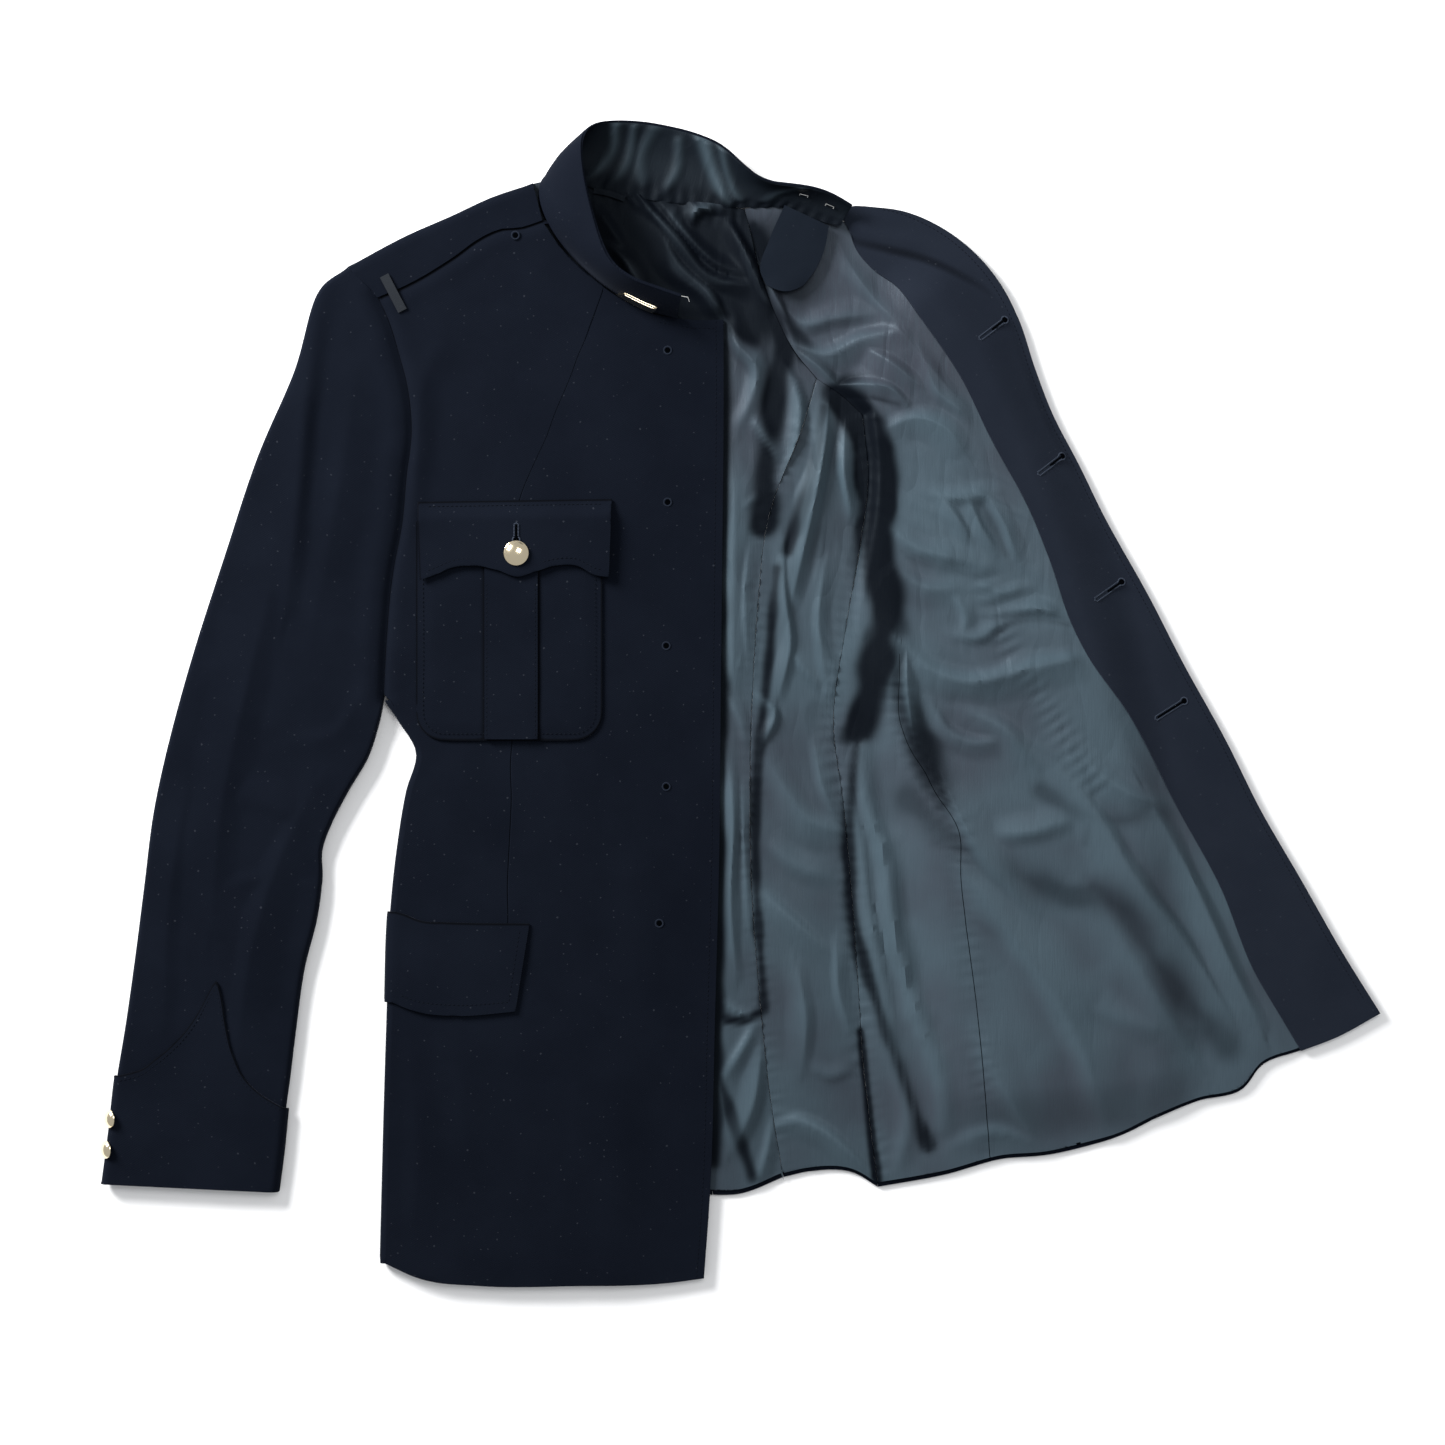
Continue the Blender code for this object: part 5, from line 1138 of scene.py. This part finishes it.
right_outer = folded_top(rings_between(RIGHT_SLEEVE, 180, 0, 7), SLEEVE_FOLDS, 61)
right_inner = folded_top(rings_between(RIGHT_SLEEVE, 180, 1.4, 7), SLEEVE_FOLDS, 61)
tube("right_sleeve", right_outer, right_inner, wool, "sleeve_right")
tube("left_sleeve", rings_between(LEFT_SLEEVE, 60, 0, 3, 7.2), rings_between(LEFT_SLEEVE, 60, 1.4, 3, 7.2), wool,
     "sleeve_left")

# %% [markdown]
# The collar stands up at the right end and falls outwards behind the neck, so its satin inside faces up
# there. It is made on a grid that goes around the neck and up the collar.

# %% Collar
COLLAR = [
    dict(seam=(-46, 278, 7.6), edge=(-43, 288, 42)), dict(seam=(-70, 284, 8.2), edge=(-55, 292, 43)),
    dict(seam=(-98, 301, 9.0), edge=(-76, 299, 44)), dict(seam=(-115, 316, 9.4), edge=(-91, 309, 43)),
    dict(seam=(-128.5, 331, 9.6), edge=(-99, 325, 42)), dict(seam=(-139, 347, 9.6), edge=(-105, 345, 38)),
    dict(seam=(-144, 361, 9.0), edge=(-111, 368, 36)), dict(seam=(-145, 371, 8.0), edge=(-115, 391, 32)),
    dict(seam=(-140, 380, 6.0), edge=(-114, 408, 25)), dict(seam=(-126, 381, 4.4), edge=(-103, 416, 15)),
    dict(seam=(-105, 375, 3.6), edge=(-85, 418, 9)), dict(seam=(-78, 369, 3.4), edge=(-66, 417, 7)),
    dict(seam=(-50, 365, 3.4), edge=(-38, 411, 8)), dict(seam=(-25, 362, 3.6), edge=(-14, 401, 13)),
    dict(seam=(2, 359, 5.0), edge=(5, 380, 19)), dict(seam=(16, 358.5, 6.0), edge=(18, 370, 21)),
    dict(seam=(31, 360, 7.0), edge=(37, 369, 22)), dict(seam=(47, 353, 8.0), edge=(54, 367, 21)),
    dict(seam=(62, 346, 8.6), edge=(68, 362, 19)), dict(seam=(72, 344.5, 9.0), edge=(79, 355, 17)),
]
COLLAR_FINE, COLLAR_SMOOTHING, COLLAR_BOW = 240, 50, 3.0


def collar_points(outward, around=(0.0, 1.0, 200), up=(0.0, 1.0, 20)):
    """A grid on the collar, moved outward from its middle face. Around and up say first, last and steps."""
    seam_knots = np.array([row["seam"] for row in COLLAR], float)
    edge_knots = np.array([row["edge"] for row in COLLAR], float)
    run = np.r_[0, np.cumsum(np.linalg.norm(np.diff(seam_knots, axis=0), axis=1))]
    fine = np.linspace(0, 1, COLLAR_FINE + 1)
    seam, edge = (np.column_stack([np.interp(fine, run / run[-1], knots[:, axis]) for axis in range(3)])
                  for knots in (seam_knots, edge_knots))
    for line in (seam, edge):
        for _ in range(COLLAR_SMOOTHING):
            line[1:-1] = (line[:-2] + 2 * line[1:-1] + line[2:]) / 4
    share = np.linspace(up[0], up[1], up[2] + 1)[:, None, None]
    middle = seam[None] * (1 - share) + edge[None] * share
    normal = np.cross(edge - seam, np.gradient(middle[0], axis=0))
    normal /= np.linalg.norm(normal, axis=1)[:, None]
    wanted = np.linspace(around[0], around[1], around[2] + 1)
    normal = np.column_stack([np.interp(wanted, fine, normal[:, axis]) for axis in range(3)])
    middle = np.array([np.column_stack([np.interp(wanted, fine, row[:, axis]) for axis in range(3)])
                       for row in middle])
    outward = np.asarray(outward)[..., None] if np.ndim(outward) else outward
    return middle + normal[None] * (outward + COLLAR_BOW * np.sin(np.pi * share))


COLLAR_CREASES = [
    dict(line=[(0.50, 0.0), (0.52, 0.5), (0.50, 1.0)], half=0.02, rise=1.6),
    dict(line=[(0.545, 0.0), (0.56, 0.4), (0.55, 0.9)], half=0.018, rise=1.3),
    dict(line=[(0.60, 0.1), (0.585, 0.5), (0.60, 1.0)], half=0.02, rise=1.2),
    dict(line=[(0.645, 0.0), (0.66, 0.4), (0.65, 0.8)], half=0.016, rise=1.4),
    dict(line=[(0.69, 1.0), (0.72, 0.6), (0.745, 0.3), (0.77, 0.0)], half=0.024, rise=2.6),
    dict(line=[(0.73, 1.0), (0.755, 0.6), (0.79, 0.1)], half=0.018, rise=1.8),
    dict(line=[(0.42, 0.0), (0.43, 0.5), (0.41, 1.0)], half=0.02, rise=1.2),
    dict(line=[(0.84, 0.1), (0.87, 0.5), (0.9, 0.9)], half=0.016, rise=0.9),
]


def collar():
    cloth("collar_outside", collar_points(0.2), collar_points(WOOL), wool, "collar")
    around, up = np.meshgrid(np.linspace(0, 1, 201), np.linspace(-0.12, 0.96, 25))
    flat = np.dstack([around, up * 0.12])
    table = [dict(fold, line=[(x, y * 0.12) for x, y in fold["line"]]) for fold in COLLAR_CREASES]
    shape = np.zeros(around.shape)
    for fold in table:
        away, share, _ = near_line(flat, smooth_line(fold["line"], 12))
        shape = np.maximum(shape, fold["rise"] * np.clip(1 - (away / fold["half"])**1.5, 0, 1)**1.4)
    gather = 0.5 * np.sin(around * 260 + 2 * bumps(flat * 1000, 60, 71)) * np.exp(-((up + 0.05) / 0.2)**2)
    soft = 0.35 * bumps(flat * 600, 30, 72)
    lift = np.maximum(shape + gather + soft + 0.3, 0) * ease((0.96 - up) / 0.06 + 0.2)
    place = dict(around=(0.0, 1.0, 200), up=(-0.12, 0.96, 24))
    # The collar's satin gets strong painted shade, less on its creases and more near its seam, and its creases get the
    # painted light of the warp colour.
    marks = dict(rise=np.clip(shape / 2, 0, 1), painted_shade=np.clip(0.85 - 0.16 * shape + 0.3 * np.exp(-((up + 0.04) / 0.16)**2), 0, 1))
    back, face = collar_points(-GAP - 0.1, **place), collar_points(-GAP - 0.6 - lift, **place)
    cloth("collar_satin", back, face, satin, "collar_lining", marks=marks, rim=0.15,
          flat=flat * 420)


collar()

# %% [markdown]
# The tab that closes the collar is a small tongue of wool. It hangs from the left end of the collar over
# the lining. A bar, a hook and two eyes are sewn to the collar.

# %% Collar tab, bar, hook and eyes
BAR_PLACE = dict(around=(0.05, 0.125, 24), up=(0.12, 0.4, 8))
COLLAR_TAB = dict(left=[(31, 356), (20, 331), (14, 309), (18, 300)], right=[(62, 341.5), (59, 326), (52, 310), (44, 299.5)])


def collar_fittings():
    left, right = (smooth_line(COLLAR_TAB[side], 30) for side in ("left", "right"))
    across = np.linspace(0, 1, 25)
    grid = left[:, None] + across[:, None] * (right - left)[:, None]
    grid[-8:, :, 1] -= (np.linspace(0, 1, 8)**2)[:, None] * 4.5 * np.sin(np.pi * across)
    height = 8.4 + 1.2 * np.sin(np.pi * across)[None] * np.linspace(0.2, 1, 31)[:, None] + 0.25 * bumps(grid, 12, 81)
    cloth("tab", raised(grid, height), raised(grid, height + 2.0), lit_wool_tab, "collar_tab",
          rim=0.5)
    bar = cloth("bar", collar_points(WOOL + 0.4, **BAR_PLACE), collar_points(WOOL + 1.9, **BAR_PLACE), gilt,
                "collar_bar", rim=0.4, declare=False)
    return bar


collar_fittings()
fittings = [("collar_hook", steel), ("collar_eye_1", steel), ("collar_eye_2", steel)]
for node, finish in fittings:
    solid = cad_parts[node]
    for index in range(len(solid.data.materials)):
        solid.data.materials[index] = finish

# %% [markdown]
# The patch pocket lies on the front's own points, moved up. Its bag, box pleat and scalloped flap are
# three layers of cloth, and the button holds the flap.

# %% Chest pocket
CHEST_POCKET = dict(left=-233, right=-100, top=130, bottom=-27, corner=20)
PLEAT = dict(left=-184, right=-146)
FLAP_TOP = [(-232, 144), (-164, 145), (-93, 146)]
FLAP_FOOT = [(-230, 88), (-223, 90), (-205, 97), (-190, 98), (-175, 95), (-160, 90), (-147, 94),
             (-133, 98), (-118, 98), (-104, 91), (-95, 90)]
CHEST_BUTTON = (-161, 107)
REST, POCKET_WALL, PLEAT_WALL, FLAP_WALL = 0.4, 1.4, 1.2, 1.6


def on_front(points, lift):
    return raised(points, front_top(points) + lift)


def chest_pocket():
    size = CHEST_POCKET
    turn = np.radians(np.linspace(0, 90, 13))
    corner = size["corner"]
    left_half = np.column_stack([size["left"] + corner * (1 - np.cos(turn)), size["bottom"] + corner * (1 - np.sin(turn))])
    mirrored = np.column_stack([size["left"] + size["right"] - left_half[::-1, 0], left_half[::-1, 1]])
    middle = np.column_stack([np.linspace(left_half[-1, 0], mirrored[0, 0], 30)[1:-1], np.full(28, size["bottom"])])
    foot = np.vstack([left_half, middle, mirrored])
    rows = 60
    grid = np.array([np.column_stack([foot[:, 0], foot[:, 1] + (size["top"] - foot[:, 1]) * row / rows])
                     for row in range(rows + 1)])
    edge = np.array([*foot, (size["right"], size["top"]), (size["left"], size["top"])], float)
    away, *_ = near_line(grid, np.vstack([foot, [(size["right"], size["top"])]]))
    away_left, *_ = near_line(grid, np.array([(size["left"], size["top"]), (size["left"], 0.0)]))
    away = np.minimum(away, away_left)
    puff = 0.9 * ease(away / 14) + 0.2 * bumps(grid, 26, 91)
    beside = np.minimum(np.abs(grid[..., 0] - PLEAT["left"] + 1), np.abs(grid[..., 0] - PLEAT["right"] - 1))
    shadows = np.maximum(0.8 * np.exp(-(beside / 2.2)**2), 0.8 * np.exp(-(away / 1.2)**2))
    cloth("pocket_bag", on_front(grid, REST), on_front(grid, REST + POCKET_WALL + puff), wool, "chest_pocket",
          marks=dict(seam=shadows))
    on_bag = REST + POCKET_WALL + GAP
    columns = np.linspace(PLEAT["left"], PLEAT["right"], 15)
    heights = np.linspace(size["bottom"] + 1, size["top"] - 1, 50)
    pleat = np.dstack(np.meshgrid(columns, heights))
    cloth("pocket_pleat", on_front(pleat, on_bag + 0.5), on_front(pleat, on_bag + PLEAT_WALL + 1.0), wool,
          "chest_pocket_pleat", rim=0.4)
    over_pleat = on_bag + PLEAT_WALL + GAP
    head, foot = smooth_line(FLAP_TOP, 70), smooth_line(FLAP_FOOT, 70)
    sides = (smooth_line([head[index], foot[index]], 26)[::-1] for index in (0, -1))
    flap = patch(foot, head, *sides)
    slope = ease((head[None, :, 1] - flap[:, :, 1]) / (FLAP_TOP[0][1] - size["top"]))
    lift = REST + (over_pleat + 1.0 - REST) * slope + 0.35 * bumps(flap, 30, 95) * slope
    lift += 1.1 * slope * np.exp(-((flap[..., 0] - CHEST_BUTTON[0]) / 22)**2 - ((flap[..., 1] - 92) / 12)**2)
    # Painted shade along the flap's top edge and, weaker, along its left side.
    flap_edge_shade = np.zeros(flap.shape[:2])
    flap_edge_shade[-1], flap_edge_shade[:, 0] = 1, 0.6
    cloth("pocket_flap", on_front(flap, lift), on_front(flap, lift + FLAP_WALL), wool, "chest_pocket_flap",
          marks=dict(seam=flap_edge_shade))
    seat = on_front(np.array([[CHEST_BUTTON]], float), over_pleat + FLAP_WALL + 1.4)[0, 0]
    turned("chest_button", [(0, 0), (7.4, 0), (8.7, 0.5), (9.0, 1.1), (8.85, 1.7), (8.4, 2.0), (8.2, 2.15), (7.4, 3.0),
                            (6.2, 3.8), (4.6, 4.5), (2.6, 5.0), (1.2, 5.15), (0, 5.2)], seat, (0, 0, 1), gilt,
           "chest_pocket_button")
    inset = [line for line in (shifted(np.vstack([[(size["left"], 90.0)], edge[:-2], [(size["right"], 90.0)]]), 5.0),)]
    rows = [on_front(np.array([line]), REST + POCKET_WALL + 0.75)[0] for line in inset]
    rim = smooth_line(FLAP_FOOT, 80)[3:-3] + (0, 5)
    rows.append(on_front(np.array([rim]), over_pleat + FLAP_WALL + 1.1)[0])
    top = smooth_line(FLAP_TOP, 60)[3:-3] - (0, 3.5)
    rows.append(on_front(np.array([top]), REST + FLAP_WALL + 0.9)[0])
    for x in (PLEAT["left"] + 1.6, PLEAT["right"] - 1.6):
        line = np.column_stack([np.full(40, x), np.linspace(size["bottom"] + 3, 86, 40)])
        rows.append(on_front(line[None], on_bag + PLEAT_WALL + 1.05)[0])
    stitches("pocket_stitches", rows, thread)


chest_pocket()

# %% [markdown]
# The lower flap follows the front round its side fold. The cuff is a second layer on the sleeve with a
# high point on its upper side.

# %% Lower flap and cuff
LOWER_FLAP_TOP = [(-242, -151), (-229, -156), (-212, -157), (-152, -158)]
LOWER_FLAP_FOOT = [(-247, -216), (-233, -221), (-206, -224), (-162, -221)]
CUFF_EDGE = [(0.0, 71), (0.1, 75), (0.22, 86), (0.33, 102), (0.42, 123), (0.47, 141), (0.505, 151), (0.54, 142),
             (0.585, 124), (0.66, 102), (0.76, 85), (0.88, 74), (1.0, 67)]


def lower_flap():
    head, foot = smooth_line(LOWER_FLAP_TOP, 44), smooth_line(LOWER_FLAP_FOOT, 44)
    sides = (smooth_line([foot[index], head[index]], 26) for index in (0, -1))
    flap = patch(foot, head, *sides)
    fold = smooth_line(SIDE_FOLD[:5], 60)
    edge = np.column_stack([np.interp(flap[:, 0, 1], fold[:, 1], fold[:, 0]), flap[:, 0, 1] + 1.5])
    soft = 0.8 * ease((-158 - flap[..., 1]) / 30) + 0.25 * bumps(flap, 24, 97)
    skins = []
    for lift in (REST, REST + FLAP_WALL):
        bend = smooth_line([(0.0, 4.7, 1.0, 0.0), (1.3, 8.1, 0.7, 0.7), (4.7, BODY_HEIGHT, 0.0, 1.0)], 6)
        turned_over = [raised(edge[:, None] + (away - lift * out, 0), height + lift * rise)
                       for away, height, out, rise in bend]
        skins.append(np.hstack([*turned_over, on_front(flap, lift + soft * np.linspace(0, 1, 45).clip(0, 0.2) * 5)]))
    top = skins[1]
    # Painted shade along the flap's top edge.
    flap_edge_shade = np.zeros(top.shape[:2])
    flap_edge_shade[-1] = 1
    cloth("lower_flap", skins[0], top, wool, "lower_pocket_flap", marks=dict(seam=flap_edge_shade))
    stitches("lower_flap_stitches", [top[3, 8:-3] + 0.1 * UP, top[3:-2, -4] + 0.1 * UP], thread)


def right_cuff():
    rings = rings_between(RIGHT_SLEEVE, 360, 0, 7)[::-1]
    half = rings.shape[1] // 2 + 1
    rings = rings[:, :half]
    run = np.r_[0, np.cumsum(np.linalg.norm(np.diff(rings[:, half // 2, :2], axis=0), axis=1))]
    first, last = rings[0, 0, :2], rings[0, -1, :2]
    shares = np.linalg.norm(rings[0, :, :2] - first, axis=1) / np.linalg.norm(last - first)
    reach = np.interp(shares, *zip(*smooth_line(CUFF_EDGE, 60)))
    steps = 44
    over = np.array([[[np.interp(reach[column] * step / steps, run, rings[:, column, axis]) for axis in range(3)]
                      for column in range(half)] for step in range(steps + 1)])
    tilt = np.clip((rings[0, :, 2] - rings[0, 0, 2]) / (rings[0, half // 2, 2] - rings[0, 0, 2]), 0, 1) * np.pi / 2
    side = np.where(np.arange(half) < half / 2, -1, 1)
    outward = np.column_stack([side * np.cos(tilt), np.zeros(half), np.sin(tilt)])
    lift = 0.35 * bumps(over, 30, 99)[..., None] * UP * ease((over[..., 2:] - 6) / 2)
    edge_shadow = np.zeros(over.shape[:2])
    edge_shadow[-1] = 1
    cloth("cuff", over + outward * 0.3, over + outward * 2.1 + lift, wool, "cuff_right",
          marks=dict(seam=edge_shadow))
    line = over[-3, 4:-4] + outward[4:-4] * 2.25
    stitches("cuff_stitches", [line], thread)
    edge = rings[:, 0]
    for index, y in enumerate((-298.0, -320.0), 1):
        x = np.interp(y, edge[:, 1], edge[:, 0])
        turned(f"cuff_button_front_{index}", [(0, 0), (5.4, 0), (6.3, 0.5), (6.5, 1.0), (6.3, 1.5), (5.4, 2.5), (3.8, 3.5),
                                              (1.8, 4.1), (0, 4.2)], (x, y, 9.6), (-0.75, 0, 0.66), gilt,
               f"cuff_button_{index}")


lower_flap()
right_cuff()

# %% [markdown]
# Sewn details come last: the hanger and shoulder loops, the eyelets down the front, the keyhole
# buttonholes on the facing and the lines of stitching along the edges.

# %% Loops
def strip(name, node, line, width, height, finish):
    middle = smooth_line(line, 20)
    across = np.linspace(-0.5, 0.5, 9)
    grid = np.stack([shifted(middle, width * share) for share in across], axis=1)
    bulge = 0.5 * np.sin(np.pi * np.linspace(0, 1, 21))[:, None]
    flat = raised(grid, height + bulge)
    # The strip's satin gets painted shade of 0.9; the ribbon's wool doesn't read it.
    cloth(name, flat, flat + 0.7 * UP, finish, node, rim=0.15, declare=False,
          marks=dict(painted_shade=np.full(grid.shape[:2], 0.9)))


strip("ribbon_loop", "shoulder_loop", [(-256, 306), (-243, 281)], 6.5, 10.3, ribbon)
strip("hanger", "hanger_loop", [(-106, 368), (-96, 366), (-84, 362)], 4.0, 5.4, satin)

# %% [markdown]
# An eyelet is a ring of close stitches around a hole. A keyhole buttonhole is a slot with a round end,
# and the same close stitches all round it. The hole and the slot are near-black discs and boxes laid
# on the cloth: painted shadow where the openings are.

# %% Eyelets and buttonholes
def purl(mesh, centre, way, length, thick):
    """One cross stitch of an edge, from its middle point."""
    turn = Vector(way).to_track_quat("X", "Z").to_matrix().to_4x4()
    size = Matrix.Diagonal((length / 2 * MM, thick * MM, thick * 0.8 * MM, 1))
    bmesh.ops.create_icosphere(mesh, subdivisions=1, radius=1,
                               matrix=Matrix.Translation(Vector(centre) * MM) @ turn @ size)


def eyelets(name, places, height_of):
    ring, hole_shadows = bmesh.new(), bmesh.new()
    for x, y in places:
        z = height_of(x, y)
        for angle in np.linspace(0, 2 * np.pi, 23)[:-1]:
            way = (np.cos(angle), np.sin(angle), 0.0)
            purl(ring, (x + 2.7 * way[0], y + 2.7 * way[1], z + 0.15), way, 1.6, 0.42)
        bmesh.ops.create_cone(hole_shadows, cap_ends=True, segments=20, radius1=1.9 * MM, radius2=1.9 * MM, depth=0.3 * MM,
                              matrix=Matrix.Translation(Vector((x, y, z + 0.05)) * MM))
    settle(name, ring, ring_thread, smooth=3.0)
    settle(name + "_holes", hole_shadows, shadow)


def buttonholes(name, places, height_of):
    ring, slot_shadows = bmesh.new(), bmesh.new()
    for start, end in places:
        start, end = np.array(start, float), np.array(end, float)
        way = (end - start) / np.linalg.norm(end - start)
        side = np.array((-way[1], way[0]))
        length = np.linalg.norm(end - start)
        outline = [(-1.0, 0.0)] + [(d, 1.5) for d in np.arange(0, length - 2.5, 1.0)]
        outline += [(length + 2.4 * np.cos(a), 2.6 * np.sin(a)) for a in np.linspace(2.4, 0, 9)]
        full = outline + [(d, -h) for d, h in outline[::-1] if h > 0]
        for (d, h), (d2, h2) in zip(full, full[1:] + full[:1]):
            steps = max(1, round(np.hypot(d2 - d, h2 - h) / 0.85))
            for step in range(steps):
                u, v = d + (d2 - d) * step / steps, h + (h2 - h) * step / steps
                spot = start + way * u + side * v
                out = np.array((h2 - h, -(d2 - d)))
                out = way * out[0] + side * out[1]
                purl(ring, (*spot, height_of(*spot) + 0.2), (*out, 0.0), 1.4, 0.42)
        middle = start + way * length / 2
        turn = Matrix.Rotation(np.arctan2(way[1], way[0]), 4, "Z")
        z = height_of(*middle) + 0.12
        bmesh.ops.create_cube(slot_shadows, size=1, matrix=Matrix.Translation(Vector((*middle, z)) * MM) @ turn
                              @ Matrix.Diagonal((length * MM, 1.3 * MM, 0.35 * MM, 1)))
        bmesh.ops.create_cone(slot_shadows, cap_ends=True, segments=20, radius1=1.9 * MM, radius2=1.9 * MM, depth=0.4 * MM,
                              matrix=Matrix.Translation(Vector((*end, height_of(*end) + 0.12)) * MM))
    settle(name, ring, pale_thread, smooth=3.0)
    settle(name + "_slots", slot_shadows, shadow)


def facing_height(x, y):
    flat = facing.reshape(-1, 3)
    return float(flat[np.argmin((flat[:, 0] - x)**2 + (flat[:, 1] - y)**2), 2])


def front_level(x, y):
    return float(front_top(np.array([[(x, y)]], float))[0, 0])


eyelets("front_eyelets", [(-53, 253), (-53, 144), (-54, 41), (-54, -60), (-59, -158)], front_level)
eyelets("shoulder_eyelet", [(-162, 335)], lambda x, y: front_level(x, y) + 0.9)
buttonholes("buttonholes", [((171, 261), (189, 275)), ((213, 164), (230, 177)), ((254, 74), (273, 87)),
                            ((298, -11), (318, 1.5))], facing_height)
flap_top = on_front(np.array([[(-161, 122)]], float), 6.5)[0, 0, 2]
buttonholes("flap_buttonhole", [((-161, 127.5), (-161, 116.5))], lambda x, y: flap_top)

# %% [markdown]
# A row of small stitches runs along the front edge, the neck and the outer edge of the facing.

# %% Edge stitching
edge_line = shifted(chain((FRONT_EDGE, 160)), 5.5)
neck_line = np.column_stack([np.linspace(-19, -60, 20), np.interp(np.linspace(-19, -60, 20), [-62, -37, -13],
                                                                  [273.5, 269, 269])])
edge_points = np.column_stack([edge_line, [front_level(x, y) + 0.1 for x, y in edge_line]])
neck_points = np.column_stack([neck_line, [front_level(x, y) + 0.1 for x, y in neck_line]])
stitches("front_stitches", [edge_points, neck_points], thread)
stitches("facing_stitches", [facing[4:-4, -4] + 0.05 * UP], thread)

# %% [markdown]
# The jacket lies on a pale floor under soft light. The camera looks straight down from two metres, as
# the photograph does.

# %% Floor, light and camera
def soft_light(name, place, aim, size, power, colour=(1, 1, 1)):
    lamp = bpy.data.lights.new(name, "AREA")
    lamp.size, lamp.energy, lamp.color = size, power, colour
    thing = bpy.data.objects.new(name, lamp)
    thing.location = place
    thing.rotation_euler = (Vector(aim) - Vector(place)).to_track_quat("-Z", "Y").to_euler()
    bpy.context.scene.collection.objects.link(thing)


floor_mesh = bmesh.new()
bmesh.ops.create_grid(floor_mesh, x_segments=1, y_segments=1, size=6)
floor_data = bpy.data.meshes.new("floor")
floor_mesh.to_mesh(floor_data)
floor_mesh.free()
floor = bpy.data.objects.new("floor", floor_data)
floor.location = (0, 0, -0.0006)
paper, _, _ = material("paper", Roughness=0.9, Base_Color=(0.93, 0.93, 0.93, 1), Specular_IOR_Level=0.1)
floor_data.materials.append(paper)
bpy.context.scene.collection.objects.link(floor)

soft_light("window", (-1.5, 1.2, 0.95), (0.1, 0, 0), 0.8, 105)
soft_light("overhead", (0.4, 0.8, 2.4), (0, 0, 0), 1.0, 18)
world = bpy.data.worlds.new("studio")
world.use_nodes = True
world.node_tree.nodes["Background"].inputs["Color"].default_value = (0.95, 0.97, 1, 1)
world.node_tree.nodes["Background"].inputs["Strength"].default_value = 0.5
bpy.context.scene.world = world

CAMERA_CENTRE = (-0.0137, -0.0140)
VIEW_WIDTH, LENS, SENSOR = 1.0404, 70.0, 36.0
eye = bpy.data.cameras.new("camera")
eye.lens, eye.sensor_width, eye.sensor_fit = LENS, SENSOR, "HORIZONTAL"
camera = bpy.data.objects.new("camera", eye)
camera.location = (*CAMERA_CENTRE, VIEW_WIDTH * LENS / SENSOR)
bpy.context.scene.collection.objects.link(camera)
bpy.context.scene.camera = camera
bpy.context.scene.view_settings.view_transform = "Standard"

# %% [markdown]
# At the end the script prints how many pieces and faces the finer model has.

# %% Count the pieces
print("pieces:", len(made_pieces), "faces:", sum(len(thing.data.polygons) for thing in made_pieces))
